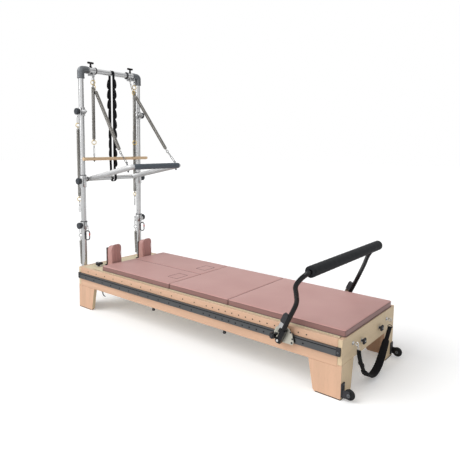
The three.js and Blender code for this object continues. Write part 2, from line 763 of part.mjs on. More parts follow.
function wheelBracket(side) {
  const face = FRAME_LENGTH + TOUCH;
  const axleX = FRAME_LENGTH + WHEEL_SET_X;
  const half = TRANSPORT_WIDTH / 2 + RUNNING;
  const outer = WHEEL_SET_Y - half;
  const plate = box(face, face + BRACKET_PLATE, flip(0, side), flip(BRACKET_WIDTH, side), BRACKET_BOTTOM, BRACKET_TOP);
  const cheek = box(
    face + BRACKET_PLATE - OVERRUN,
    face + BRACKET_CHEEK_LENGTH,
    flip(outer, side),
    flip(outer - BRACKET_PLATE, side),
    BRACKET_BOTTOM,
    BRACKET_CHEEK_TOP,
  );
  const axle = rod(
    at(axleX, flip(outer - BRACKET_PLATE / 2, side), WHEEL_SET_Z),
    at(axleX, flip(WHEEL_SET_Y + half + AXLE_HEAD, side), WHEEL_SET_Z),
    AXLE_RADIUS,
  );
  const head = rod(
    at(axleX, flip(WHEEL_SET_Y + half, side), WHEEL_SET_Z),
    at(axleX, flip(WHEEL_SET_Y + half + AXLE_HEAD, side), WHEEL_SET_Z),
    AXLE_RADIUS + AXLE_HEAD,
  );
  return join(plate, cheek, axle, head);
}

// The padded foot strap hangs in a U between two eyebolts in the foot board.
const STRAP_SHARES = [
  [-1, 0],
  [-0.93, 0.24],
  [-0.84, 0.42],
  [-0.62, 0.72],
  [-0.34, 0.94],
  [-0.04, 1],
  [0.26, 0.9],
  [0.56, 0.6],
  [0.78, 0.33],
  [0.93, 0.14],
  [1, 0],
];

function footStrap() {
  const route = STRAP_SHARES.map(([across, down]) => [
    MIDDLE_Y + across * EYE_SPREAD,
    EYE_Z - down * STRAP_DROP,
  ]);
  const edge = (out) =>
    route.map(([y, z], i) => {
      const [y0, z0] = route[Math.max(i - 1, 0)];
      const [y1, z1] = route[Math.min(i + 1, route.length - 1)];
      const length = Math.hypot(y1 - y0, z1 - z0);
      const offset = (out * STRAP_THICKNESS) / 2 / length;
      return [y + (z1 - z0) * offset, z - (y1 - y0) * offset];
    });
  const band = slabAlong([...edge(1), ...edge(-1).reverse()], STRAP_START, STRAP_START + STRAP_WIDTH);
  const bolts = SIDES.flatMap((side) => {
    const root = at(FRAME_LENGTH + TOUCH, spread(side, EYE_SPREAD), EYE_Z);
    const eye = root.clone().setX(FRAME_LENGTH + EYEBOLT_REACH);
    return [rod(root, eye, EYEBOLT_RADIUS), ball(eye, EYE_RADIUS)];
  });
  return join(band, ...bolts);
}

function buildKnobsAndFootEnd() {
  const deckPlace = at(HEAD_KNOB_X, HEAD_KNOB_Y, FRAME_TOP);
  const headKnob = clampKnob(deckPlace, at(0, 0, 1), HEAD_KNOB_NECK, HEAD_KNOB_THICKNESS, HEAD_KNOB_RADIUS, 3);
  piece("head_knob", headKnob, BLACK);
  for (const side of SIDES) {
    const place = at(FRAME_LENGTH, spread(side, STAR_SPREAD), STAR_Z);
    const knob = clampKnob(place, at(1, 0, 0), STAR_NECK, STAR_THICKNESS, STAR_RADIUS, 4);
    piece("star_knob_" + side.name, knob, BLACK);
    piece("transport_wheel_" + side.name, transportWheel(side), RUBBER);
    piece("wheel_bracket_" + side.name, wheelBracket(side), BLACK);
  }
  piece("foot_strap", footStrap(), WEBBING);
}

// Footbar tracks, with a groove along the top and blind index holes that stand closer near the foot end
function indexHoles() {
  const places = [];
  for (let i = 0; i < WIDE_HOLES; i++) places.push(HOLE_START + i * HOLE_PITCH);
  const last = places[places.length - 1];
  for (let i = 1; i <= CLOSE_HOLES; i++) places.push(last + (i * HOLE_PITCH) / 2);
  return places;
}

function footbarTrack(side) {
  const back = -TOUCH;
  const face = back - TRACK_DEPTH;
  const outline = [
    [back, TRACK_BOTTOM],
    [back, TRACK_TOP],
    [face, TRACK_TOP],
    [face, GROOVE_TOP],
    [face + TRACK_GROOVE, GROOVE_TOP],
    [face + TRACK_GROOVE, GROOVE_BOTTOM],
    [face, GROOVE_BOTTOM],
    [face, TRACK_BOTTOM],
  ];
  const track = slabAlong(
    outline.map(([y, z]) => [flip(y, side), z]),
    TRACK_START,
    TRACK_END,
  );
  const holes = indexHoles().map((x) =>
    rod(
      at(x, flip(face - OVERRUN, side), HOLE_Z),
      at(x, flip(face + HOLE_DEPTH, side), HOLE_Z),
      HOLE_RADIUS,
      HOLE_SIDES,
    ),
  );
  return cut(track, ...holes);
}

// Near-side Y of the carrier's faces
const RUNNER_BACK = -TOUCH - TRACK_DEPTH - RUNNING;
const RUNNER_FRONT = RUNNER_BACK - CARRIER_RUNNER;
const PLATE_FRONT = RUNNER_FRONT - CARRIER_PLATE;
const ARM_Y = PLATE_FRONT - ARM_GAP - FOOTBAR_TUBE;

// The carrier's plate as shares of its length and height.
const CARRIER_SHARES = [
  [0.06, 0],
  [0.95, 0],
  [1, 0.14],
  [0.9, 0.62],
  [0.74, 0.86],
  [0.5, 1],
  [0.3, 1],
  [0.08, 0.78],
  [0, 0.5],
  [0, 0.1],
];

function footbarCarrier(side) {
  const plate = slabAcross(
    CARRIER_SHARES.map(([x, z]) => [CARRIER_X + x * CARRIER_LENGTH, CARRIER_BOTTOM + z * CARRIER_HEIGHT]),
    flip(RUNNER_FRONT, side),
    flip(PLATE_FRONT, side),
  );
  const x0 = CARRIER_X + RUNNER_INSET;
  const x1 = CARRIER_X + CARRIER_LENGTH - RUNNER_INSET;
  const low = TRACK_BOTTOM - RUNNING;
  const high = TRACK_TOP + RUNNING;
  const front = flip(RUNNER_FRONT - OVERRUN, side);
  const body = box(x0, x1, front, flip(RUNNER_BACK, side), low - RUNNER_LIP, high + RUNNER_LIP);
  const lipEdge = flip(RUNNER_BACK + RUNNER_REACH, side);
  const lipRoot = flip(RUNNER_BACK - OVERRUN, side);
  const lowLip = box(x0, x1, lipRoot, lipEdge, low - RUNNER_LIP, low);
  const highLip = box(x0, x1, lipRoot, lipEdge, high, high + RUNNER_LIP);
  const boss = rod(
    at(PIVOT_X, flip(PLATE_FRONT + OVERRUN, side), PIVOT_Z),
    at(PIVOT_X, flip(PLATE_FRONT - ARM_GAP + TOUCH, side), PIVOT_Z),
    PIVOT_EYE - OVERRUN,
    KNOB_SIDES,
  );
  const bore = rod(
    at(PLUNGER_X, flip(PLATE_FRONT - OVERRUN, side), PLUNGER_Z),
    at(PLUNGER_X, flip(RUNNER_BACK + OVERRUN, side), PLUNGER_Z),
    PLUNGER_PIN + RUNNING,
  );
  return cut(join(plate, body, lowLip, highLip, boss), bore);
}

function plunger(side) {
  const place = (y) => at(PLUNGER_X, flip(y, side), PLUNGER_Z);
  const seat = PLATE_FRONT - TOUCH;
  const barrelEnd = seat - PLUNGER_BARREL_LENGTH;
  const knobEnd = barrelEnd - PLUNGER_KNOB_LENGTH;
  const pin = rod(place(RUNNER_BACK - TOUCH), place(seat - OVERRUN), PLUNGER_PIN);
  const barrel = rod(place(seat), place(barrelEnd - OVERRUN), PLUNGER_BARREL, KNOB_SIDES);
  return join(pin, barrel, lobedKnob(place(barrelEnd), place(knobEnd), PLUNGER_KNOB_RADIUS, 4));
}

// The footbar's near arm: straight up from its pivot, out round the mat, then over into the grip.
function armPoint(along, out, side) {
  const [reach, rise] = along;
  return at(PIVOT_X + reach, flip(ARM_Y - out, side), PIVOT_Z + rise);
}

function footbarArm(side) {
  const bend = FLARE_OUT / 2;
  const points = [
    armPoint([0, 0], 0, side),
    armPoint([KNEE_REACH * 0.5, KNEE_RISE * 0.5], 0, side),
    armPoint([KNEE_REACH * 0.92, KNEE_RISE * 0.93], 0, side),
    armPoint([(KNEE_REACH + FLARE_REACH) / 2, (KNEE_RISE + FLARE_RISE) / 2], bend, side),
    armPoint([FLARE_REACH + 0.03 * GRIP_REACH, FLARE_RISE + 0.04 * GRIP_RISE], FLARE_OUT, side),
    armPoint([GRIP_REACH * 0.78, GRIP_RISE * 0.9], FLARE_OUT, side),
    armPoint([GRIP_REACH, GRIP_RISE], FLARE_OUT, side),
  ];
  const circle = new THREE.Shape().absarc(0, 0, FOOTBAR_TUBE, 0, 2 * Math.PI);
  return new THREE.ExtrudeGeometry(circle, {
    curveSegments: KNOB_SIDES / 2,
    steps: ARM_STEPS,
    extrudePath: new THREE.CatmullRomCurve3(points, false, "centripetal"),
  });
}

function footbar() {
  const parts = SIDES.map((side) => footbarArm(side));
  const corners = SIDES.map((side) => armPoint([GRIP_REACH, GRIP_RISE], FLARE_OUT, side));
  parts.push(rod(corners[0], corners[1], FOOTBAR_TUBE, KNOB_SIDES));
  parts.push(...corners.map((corner) => ball(corner, FOOTBAR_TUBE, KNOB_SIDES)));
  const slope = Math.atan2(KNEE_REACH, KNEE_RISE);
  for (const side of SIDES) {
    const inner = flip(PLATE_FRONT - ARM_GAP, side);
    const outer = ARM_Y - FOOTBAR_TUBE;
    const cap = flip(outer - PIVOT_CAP_LENGTH, side);
    parts.push(rod(at(PIVOT_X, inner, PIVOT_Z), at(PIVOT_X, flip(outer, side), PIVOT_Z), PIVOT_EYE, KNOB_SIDES));
    const capRoot = flip(outer + OVERRUN, side);
    parts.push(rod(at(PIVOT_X, capRoot, PIVOT_Z), at(PIVOT_X, cap, PIVOT_Z), PIVOT_CAP));
    const block = box(
      -FOOTBAR_TUBE / 2 - BLOCK_DEPTH,
      -FOOTBAR_TUBE / 2,
      -BLOCK_WIDTH / 2,
      BLOCK_WIDTH / 2,
      BLOCK_START,
      BLOCK_END,
    );
    parts.push(block.rotateY(slope).translate(PIVOT_X, flip(ARM_Y, side), PIVOT_Z));
  }
  return join(...parts);
}

function footbarGrip() {
  const x = PIVOT_X + GRIP_REACH;
  const z = PIVOT_Z + GRIP_RISE;
  const end = ARM_Y - FLARE_OUT + GRIP_GAP + FOOTBAR_TUBE;
  const foam = rod(at(x, end, z), at(x, flip(end, SIDES[1]), z), GRIP_RADIUS, TUBE_SIDES);
  const bore = rod(
    at(x, end - OVERRUN, z),
    at(x, flip(end - OVERRUN, SIDES[1]), z),
    FOOTBAR_TUBE + FOAM_BORE_GAP,
    KNOB_SIDES,
  );
  return cut(foam, bore);
}

function buildFootbar() {
  for (const side of SIDES) {
    piece("footbar_track_" + side.name, footbarTrack(side), ALUMINIUM);
    piece("footbar_carrier_" + side.name, footbarCarrier(side), ALUMINIUM);
    piece("plunger_" + side.name, plunger(side), BLACK);
  }
  piece("footbar", footbar(), BLACK_PAINT);
  piece("footbar_grip", footbarGrip(), FOAM);
}

// Tower tubes
function upright(side) {
  const y = spread(side, TOWER_SPREAD);
  const tube = rod(at(TOWER_X, y, UPRIGHT_FOOT), at(TOWER_X, y, CROSSBAR_Z - ELBOW_STOP), TUBE_RADIUS, TUBE_SIDES);
  const clamps = [CLAMP_LOW, CLAMP_HIGH].map((z) =>
    box(TOWER_X - CLAMP_BACK, -TOUCH, y - CLAMP_HALF_WIDTH, y + CLAMP_HALF_WIDTH, z, z + CLAMP_HEIGHT),
  );
  const lug = box(
    LOWER_EYE_X - EYE_MARGIN,
    TOWER_X - CLAMP_BACK + OVERRUN,
    y - BACK_LUG_THICKNESS / 2,
    y + BACK_LUG_THICKNESS / 2,
    CLAMP_HIGH + CLAMP_HEIGHT - BACK_LUG_HEIGHT,
    CLAMP_HIGH + CLAMP_HEIGHT,
  );
  const bore = rod(at(TOWER_X, y, UPRIGHT_FOOT - OVERRUN), at(TOWER_X, y, CROSSBAR_Z), TUBE_RADIUS - TUBE_WALL);
  return cut(join(tube, ...clamps, lug), bore);
}

function elbow(side) {
  const y = spread(side, TOWER_SPREAD);
  const inward = -side.out;
  const corner = at(TOWER_X, y, CROSSBAR_Z);
  const down = at(TOWER_X, y, CROSSBAR_Z - ELBOW_DOWN);
  const across = at(TOWER_X, y + inward * ELBOW_ACROSS, CROSSBAR_Z);
  const body = join(
    rod(down, corner, ELBOW_RADIUS, TUBE_SIDES),
    rod(across, corner, ELBOW_RADIUS, TUBE_SIDES),
    ball(corner, ELBOW_RADIUS, TUBE_SIDES),
  );
  const stop = ELBOW_STOP - TOUCH;
  const lowBore = rod(
    at(TOWER_X, y, CROSSBAR_Z - ELBOW_DOWN - OVERRUN),
    at(TOWER_X, y, CROSSBAR_Z - stop),
    TUBE_RADIUS + TOUCH,
    TUBE_SIDES,
  );
  const sideBore = rod(
    at(TOWER_X, y + inward * stop, CROSSBAR_Z),
    at(TOWER_X, y + inward * (ELBOW_ACROSS + OVERRUN), CROSSBAR_Z),
    TUBE_RADIUS + TOUCH,
    TUBE_SIDES,
  );
  return cut(body, lowBore, sideBore);
}

function crossbar() {
  const reach = TOWER_SPREAD - ELBOW_STOP;
  const place = (out) => at(TOWER_X, MIDDLE_Y + out, CROSSBAR_Z);
  const tube = rod(place(-reach), place(reach), TUBE_RADIUS, TUBE_SIDES);
  return cut(tube, rod(place(-reach - OVERRUN), place(reach + OVERRUN), TUBE_RADIUS - TUBE_WALL));
}

// A ring that runs on a tube, between two points on the tube's axis.
function sleeve(from, to, radius) {
  const over = to.clone().sub(from).normalize().multiplyScalar(OVERRUN);
  const bore = rod(from.clone().sub(over), to.clone().add(over), TUBE_RADIUS + RUNNING, TUBE_SIDES);
  return { ring: rod(from, to, radius, TUBE_SIDES), bore };
}

// The knob that locks a collar, on the collar's outer side.
function collarKnob(side, z) {
  const y = spread(side, TOWER_SPREAD);
  const root = y + side.out * (COLLAR_RADIUS - OVERRUN);
  const head = y + side.out * (COLLAR_RADIUS + KNOB_NECK);
  return [
    rod(at(TOWER_X, root, z), at(TOWER_X, head + side.out * OVERRUN, z), KNOB_SCREW_RADIUS),
    rod(at(TOWER_X, head, z), at(TOWER_X, head + side.out * KNOB_THICKNESS, z), KNOB_RADIUS, TUBE_SIDES),
  ];
}

// An upper or lower collar: ring, knob, an eye in front and a lug behind that a spring hangs from.
function springCollar(side, z) {
  const y = spread(side, TOWER_SPREAD);
  const half = COLLAR_HEIGHT / 2;
  const { ring, bore } = sleeve(at(TOWER_X, y, z - half), at(TOWER_X, y, z + half), COLLAR_RADIUS);
  const eye = at(TOWER_X + COLLAR_RADIUS + FRONT_EYE_REACH, y, z);
  const stem = rod(at(TOWER_X + COLLAR_RADIUS - OVERRUN, y, z), eye, EYEBOLT_RADIUS);
  const lug = box(
    BACK_EYE_X - EYE_MARGIN,
    TOWER_X - COLLAR_RADIUS + OVERRUN,
    y - BACK_LUG_THICKNESS / 2,
    y + BACK_LUG_THICKNESS / 2,
    z - BACK_LUG_HEIGHT / 2,
    z + BACK_LUG_HEIGHT / 2,
  );
  return cut(join(ring, ...collarKnob(side, z), stem, ball(eye, FRONT_EYE_RADIUS), lug), bore);
}

// A middle collar carries one end of the push bar's cross tube on its inner side.
const WASHER_FACE = COLLAR_RADIUS + WASHER_THICKNESS; // from the upright's axis

function pivotCollar(side) {
  const y = spread(side, TOWER_SPREAD);
  const half = MIDDLE_COLLAR_HEIGHT / 2;
  const z = MIDDLE_COLLAR_Z;
  const { ring, bore } = sleeve(at(TOWER_X, y, z - half), at(TOWER_X, y, z + half), COLLAR_RADIUS);
  const root = y - side.out * (COLLAR_RADIUS - OVERRUN * 2);
  const face = y - side.out * WASHER_FACE;
  const washer = rod(at(TOWER_X, root, PUSH_PIVOT_Z), at(TOWER_X, face, PUSH_PIVOT_Z), WASHER_RADIUS, TUBE_SIDES);
  return cut(join(ring, ...collarKnob(side, z), washer), bore);
}

const sliderMiddle = (side) => spread(side, side.out < 0 ? NEAR_SLIDER_SPREAD : FAR_SLIDER_SPREAD);

// A slider on the crossbar: ring, flange, T-knob and two hangers for the springs.
function topSlider(side) {
  const middle = sliderMiddle(side);
  const half = SLIDER_LENGTH / 2;
  const place = (y, z) => at(TOWER_X, y, z);
  const { ring, bore } = sleeve(place(middle - half, CROSSBAR_Z), place(middle + half, CROSSBAR_Z), SLIDER_RADIUS);
  const inner = middle - side.out * half;
  const flange = rod(
    place(inner, CROSSBAR_Z),
    place(inner + side.out * FLANGE_THICKNESS, CROSSBAR_Z),
    FLANGE_RADIUS,
    TUBE_SIDES,
  );
  const knobY = middle + side.out * T_KNOB_OFFSET;
  const capZ = CROSSBAR_Z + T_KNOB_HEIGHT;
  const capHalf = T_KNOB_CAP_LENGTH / 2;
  const stem = rod(place(knobY, CROSSBAR_Z + TUBE_RADIUS), place(knobY, capZ), T_KNOB_STEM);
  const cap = rod(place(knobY - capHalf, capZ), place(knobY + capHalf, capZ), T_KNOB_CAP_RADIUS);
  const hanger = (eye) =>
    box(
      TOWER_X - HANGER_BACK,
      eye.x + EYE_MARGIN,
      eye.y - HANGER_THICKNESS / 2,
      eye.y + HANGER_THICKNESS / 2,
      HANGER_BOTTOM,
      CROSSBAR_Z - TUBE_RADIUS - OVERRUN,
    );
  const hangers = [hanger(rollEye(side)), hanger(pushEye(side))];
  return cut(join(ring, flange, stem, cap, ...hangers), bore);
}

function rollEye(side) {
  const middle = sliderMiddle(side);
  return at(ROLL_EYE_X, middle + side.out * ROLL_EYE_OFFSET, HANGER_BOTTOM);
}

function pushEye(side) {
  const middle = sliderMiddle(side);
  return at(PUSH_EYE_X, middle - side.out * PUSH_EYE_OFFSET, HANGER_BOTTOM);
}

// Push-through bar: a cross tube at the pivot, two arms that spread a little, and the grip tube.
function pushCorner(side, share) {
  const distance = PUSH_ROOT_SPREAD + (PUSH_TIP_SPREAD - PUSH_ROOT_SPREAD) * share;
  return at(TOWER_X + PUSH_REACH * share, spread(side, distance), PUSH_PIVOT_Z + PUSH_RISE * share);
}

// A place on the eyebolt, which goes square through the arm: height from the arm's middle line.
function pushHook(side, height = HOOK_ABOVE) {
  const square = at(-PUSH_RISE, 0, PUSH_REACH).normalize();
  return pushCorner(side, HOOK_SHARE).addScaledVector(square, height);
}

function pushBar() {
  const parts = [];
  const tips = SIDES.map((side) => pushCorner(side, 1));
  for (const side of SIDES) {
    const root = pushCorner(side, 0);
    const tip = pushCorner(side, 1);
    parts.push(rod(root, tip, PUSH_ARM, TUBE_SIDES), ball(tip, PUSH_CORNER, TUBE_SIDES));
    const eye = pushHook(side);
    parts.push(rod(pushHook(side, -HOOK_BELOW), eye, HOOK_STEM), ball(eye, HOOK_BALL));
  }
  const reach = TOWER_SPREAD - WASHER_FACE - TOUCH;
  const crossEnds = SIDES.map((side) => at(TOWER_X, spread(side, reach), PUSH_PIVOT_Z));
  parts.push(rod(crossEnds[0], crossEnds[1], PUSH_TUBE, TUBE_SIDES));
  parts.push(rod(tips[0], tips[1], PUSH_TUBE, TUBE_SIDES));
  return join(...parts);
}

function pushBarGrip() {
  const tips = SIDES.map((side) => pushCorner(side, 1));
  const inset = (place, out, gap) => place.clone().setY(place.y + out * gap);
  const foam = rod(inset(tips[0], 1, PUSH_GRIP_GAP), inset(tips[1], -1, PUSH_GRIP_GAP), PUSH_GRIP_RADIUS, TUBE_SIDES);
  const bore = rod(tips[0], tips[1], PUSH_TUBE + FOAM_BORE_GAP, TUBE_SIDES);
  return cut(foam, bore);
}

// A coil spring as one wire: straight on its axis, out into the curls, and straight again.
function spring(name, from, coilStart, coilEnd, to, curls) {
  const axis = coilEnd.clone().sub(coilStart).normalize();
  const side = new THREE.Vector3().crossVectors(axis, at(0, 1, 0));
  side.normalize();
  const up = new THREE.Vector3().crossVectors(side, axis);
  const centre = [from, coilStart.clone().addScaledVector(axis, -2 * WIRE)];
  const steps = curls * CURL_STEPS;
  for (let i = 0; i <= steps; i++) {
    const turn = i / CURL_STEPS;
    const grow = Math.min(1, Math.min(turn, curls - turn) / HELIX_BLEND_SHARE);
    const angle = 2 * Math.PI * turn;
    const place = coilStart.clone().lerp(coilEnd, i / steps);
    place.addScaledVector(side, COIL_RADIUS * grow * Math.cos(angle));
    place.addScaledVector(up, COIL_RADIUS * grow * Math.sin(angle));
    centre.push(place);
  }
  centre.push(coilEnd.clone().addScaledVector(axis, 2 * WIRE), to);
  console.log(name + " least gap " + leastGap(centre).toFixed(1) + " mm");
  return wireAlong(centre);
}

// Least gap of a wire to itself, between points at least half a curl apart.
function leastGap(centre) {
  let least = Infinity;
  for (let i = 0; i < centre.length; i++)
    for (let j = i + CURL_STEPS / 2; j < centre.length; j++)
      least = Math.min(least, centre[i].distanceTo(centre[j]) - 2 * WIRE);
  return least;
}

// A closed tube of the wire's radius through the points.
function wireAlong(centre) {
  const heading = (i) => {
    const next = centre[Math.min(i + 1, centre.length - 1)];
    return next.clone().sub(centre[Math.max(i - 1, 0)]).normalize();
  };
  let across = new THREE.Vector3().crossVectors(heading(0), at(0, 1, 0)).normalize();
  const rings = centre.map((place, i) => {
    const ahead = heading(i);
    across = across.clone().addScaledVector(ahead, -across.dot(ahead)).normalize();
    const over = new THREE.Vector3().crossVectors(ahead, across);
    const ring = [];
    for (let k = 0; k < WIRE_SIDES; k++) {
      const angle = (2 * Math.PI * k) / WIRE_SIDES;
      const point = place.clone().addScaledVector(across, WIRE * Math.cos(angle));
      ring.push(point.addScaledVector(over, WIRE * Math.sin(angle)));
    }
    return ring;
  });
  return skin(rings, centre[0], centre[centre.length - 1]);
}

// A push spring sags a little under the straight way between its eyes.
function pushSpring(side) {
  const top = pushEye(side);
  const eye = pushHook(side);
  const [coilStart, coilEnd] = PUSH_COILS[side.name].map(([share, drop]) => {
    const place = top.clone().lerp(eye, share);
    return place.setZ(place.z - drop);
  });
  const towards = (from, to, reach) => from.clone().addScaledVector(to.clone().sub(from).normalize(), reach);
  const start = towards(top, coilStart, 2 * WIRE);
  const end = towards(eye, coilEnd, HOOK_BALL + TOUCH);
  return spring("push_spring_" + side.name, start, coilStart, coilEnd, end, PUSH_CURLS);
}

function rollSpring(side) {
  const { x, y } = rollEye(side);
  const heights = [HANGER_BOTTOM - TOUCH, ROLL_COIL_TOP, ROLL_COIL_BOTTOM, ROLL_BAR_Z + ROLL_BAR_RADIUS + TOUCH];
  const [from, coilStart, coilEnd, to] = heights.map((z) => at(x, y, z));
  return spring("roll_spring_" + side.name, from, coilStart, coilEnd, to, ROLL_CURLS);
}

function legSpring(side) {
  const y = spread(side, TOWER_SPREAD);
  const top = UPPER_COLLAR_Z - BACK_LUG_HEIGHT / 2 - TOUCH;
  const heights = [top, LEG_COIL_TOP, LEG_COIL_BOTTOM, LEG_HOOK_END];
  const [from, coilStart, coilEnd, to] = heights.map((z) => at(BACK_EYE_X, y, z));
  return spring("leg_spring_" + side.name, from, coilStart, coilEnd, to, LEG_CURLS);
}

function lowerSpring(side) {
  const y = spread(side, TOWER_SPREAD);
  const from = at(BACK_EYE_X, y, LOWER_COLLAR_Z - BACK_LUG_HEIGHT / 2 - TOUCH);
  const to = at(LOWER_EYE_X, y, CLAMP_HIGH + CLAMP_HEIGHT + TOUCH);
  const share = (z) => (from.z - z) / (from.z - to.z);
  const coilStart = from.clone().lerp(to, share(LOWER_COIL_TOP));
  const coilEnd = from.clone().lerp(to, share(LOWER_COIL_BOTTOM));
  return spring("lower_spring_" + side.name, from, coilStart, coilEnd, to, LOWER_CURLS);
}

function rollBar() {
  const middle = (rollEye(SIDES[0]).y + rollEye(SIDES[1]).y) / 2;
  const start = at(ROLL_EYE_X, middle + ROLL_BAR_SHIFT - ROLL_BAR_LENGTH / 2, ROLL_BAR_Z);
  const profile = [
    [0, 0],
    [ROLL_BAR_RADIUS - ROLL_BAR_END, 0],
    [ROLL_BAR_RADIUS, ROLL_BAR_END],
    [ROLL_BAR_RADIUS, ROLL_BAR_LENGTH - ROLL_BAR_END],
    [ROLL_BAR_RADIUS - ROLL_BAR_END, ROLL_BAR_LENGTH],
    [0, ROLL_BAR_LENGTH],
  ];
  return turned(profile, start, start.clone().setY(start.y + ROLL_BAR_LENGTH), KNOB_SIDES);
}

// The loop strap hangs over the crossbar, one leg in front and one behind, each with loops on its outer face.
function loopStrap() {
  const inner = TUBE_RADIUS + TOUCH;
  const outer = inner + LOOP_THICKNESS;
  const arc = (radius, from, to) => {
    const points = [];
    for (let i = 0; i <= LOOP_ARC_STEPS; i++) {
      const angle = from + ((to - from) * i) / LOOP_ARC_STEPS;
      points.push([TOWER_X + (radius + LOOP_SLACK) * Math.cos(angle), CROSSBAR_Z + radius * Math.sin(angle)]);
    }
    return points;
  };
  const loops = (out) => {
    const points = [];
    for (let i = 0; i < LOOPS; i++) {
      const top = LOOP_FIRST - i * LOOP_PITCH;
      for (const [bulge, down] of [
        [0, 0],
        [0.75, 0.12],
        [1, 0.5],
        [0.7, 0.85],
        [0, 0.97],
      ])
        points.push([TOWER_X + out * (outer + LOOP_SLACK + bulge * LOOP_BULGE), top - down * LOOP_PITCH]);
    }
    return points;
  };
  const outline = [
    [TOWER_X + outer + LOOP_SLACK, LOOP_FRONT_END],
    ...loops(1).reverse(),
    ...arc(outer, 0, Math.PI),
    ...loops(-1),
    [TOWER_X - outer - LOOP_SLACK, LOOP_BACK_END],
    [TOWER_X - inner - LOOP_SLACK, LOOP_BACK_END],
    ...arc(inner, Math.PI, 0),
    [TOWER_X + inner + LOOP_SLACK, LOOP_FRONT_END],
  ];
  return slabAcross(outline, LOOP_Y - LOOP_WIDTH / 2, LOOP_Y + LOOP_WIDTH / 2);
}

function buildTower() {
  for (const side of SIDES) {
    piece("upright_" + side.name, upright(side), STEEL);
    piece("elbow_" + side.name, elbow(side), ELBOW_GREY);
    piece("top_slider_" + side.name, topSlider(side), STEEL);
    piece("upper_collar_" + side.name, springCollar(side, UPPER_COLLAR_Z), STEEL);
    piece("middle_collar_" + side.name, pivotCollar(side), STEEL);
    piece("lower_collar_" + side.name, springCollar(side, LOWER_COLLAR_Z), STEEL);
    piece("push_spring_" + side.name, pushSpring(side), SPRING_STEEL);
    piece("roll_spring_" + side.name, rollSpring(side), SPRING_STEEL);
    piece("leg_spring_" + side.name, legSpring(side), SPRING_STEEL);
    piece("lower_spring_" + side.name, lowerSpring(side), SPRING_STEEL);
  }
  piece("crossbar", crossbar(), STEEL);
  piece("push_bar", pushBar(), STEEL);
  piece("push_bar_grip", pushBarGrip(), SLATE_FOAM);
  piece("roll_bar", rollBar(), BIRCH);
  piece("loop_strap", loopStrap(), WEBBING);
}

buildFrame();
buildMats();
buildShoulderRests();
buildKnobsAndFootEnd();
buildFootbar();
buildTower();

// The origin is on the floor under the middle of the whole object.
const extent = new THREE.Box3().setFromObject(part, true);
const middle = extent.getCenter(new THREE.Vector3());
part.position.set(-middle.x, -middle.y, -extent.min.z);

export default part;
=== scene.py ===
"""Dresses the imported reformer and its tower: wood, mats, footbar, tubes, springs, straps, stage and camera.

Places are in millimetres: X from the head board's outer face to the foot end, Y from its near end to the far
side, and Z up from the floor.
"""

import math

import bmesh
import bpy
import numpy as np
from mathutils import Matrix, Vector, noise


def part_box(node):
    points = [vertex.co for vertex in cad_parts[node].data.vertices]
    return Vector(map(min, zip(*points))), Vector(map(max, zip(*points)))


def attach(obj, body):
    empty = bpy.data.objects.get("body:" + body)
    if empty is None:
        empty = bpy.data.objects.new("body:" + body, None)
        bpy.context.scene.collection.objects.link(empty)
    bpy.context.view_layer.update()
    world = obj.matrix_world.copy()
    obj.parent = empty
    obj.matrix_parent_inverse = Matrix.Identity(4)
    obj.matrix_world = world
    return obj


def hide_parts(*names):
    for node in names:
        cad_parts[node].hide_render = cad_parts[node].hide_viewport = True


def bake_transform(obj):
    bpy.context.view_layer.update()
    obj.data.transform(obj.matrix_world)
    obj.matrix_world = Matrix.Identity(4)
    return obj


bl_info = {
    "name": "Reformer with tower",
    "version": (1, 0, 0),
    "blender": (4, 5, 0),
    "location": "3D View > Sidebar > Reformer",
    "description": "Dresses a packed wooden reformer and its spring tower",
    "category": "Object",
}

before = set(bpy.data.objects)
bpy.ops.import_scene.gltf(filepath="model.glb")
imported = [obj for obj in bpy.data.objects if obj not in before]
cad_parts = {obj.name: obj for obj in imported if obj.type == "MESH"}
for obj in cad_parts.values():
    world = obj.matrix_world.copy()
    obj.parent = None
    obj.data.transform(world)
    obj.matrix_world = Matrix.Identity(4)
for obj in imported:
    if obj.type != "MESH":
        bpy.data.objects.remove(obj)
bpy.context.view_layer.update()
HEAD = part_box("head_board")[0].x
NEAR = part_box("head_board")[0].y
MM = 0.001

LENGTH = 2400
WIDTH = 764
MIDDLE = WIDTH / 2
FRAME_TOP = 343
SIDES = (("near", -1), ("far", 1))

MAT_NEAR, MAT_FAR, MAT_TOP, MAT_BOTTOM = 42, 722, 384, 345.2
SEAMS = (260, 1032, 1572, 2395)
PAD_X, PAD_Z, PAD_WIDTH = (168.6, 236.5), (346.6, 533), 90
PAD_SPREAD, PAD_CORNER = 170, 31
PAD_FALL = 0.11  # of a pad's height, from its front to its back

TRACK_FACE = -12.3
HOLES = [112 + 108 * i for i in range(13)] + [1408 + 54 * i for i in range(1, 15)]
HOLE_Z = 266

WHEEL_X, WHEEL_Z = 2444, 41
STRAP_X, STRAP_EYE_Z, STRAP_REACH, STRAP_SAG = 2433, 288, 250, 262

ARM_Y = -45.3
PIVOT = (2024, 262)
GRIP_AT = (2236, 709)

TOWER_X = -30
TOWER_SPREAD = 302.5
TUBE = 21.2
COLLAR_RADIUS, COLLAR_BORE = 28, 21.7
HOOK_FACING = (0.72, -0.69, 0)  # the way that most hooks and rings face
CROSSBAR_Z = 1974
SLIDER_Y = {"near": 188, "far": 584}
PUSH_PIVOT_Z = 1072
PUSH_REACH, PUSH_RISE = 573, 124
PUSH_ROOT, PUSH_SPREAD = 232, 32  # from the middle line to an arm's root, and from there to its corner
HOOK_SHARE = 0.919
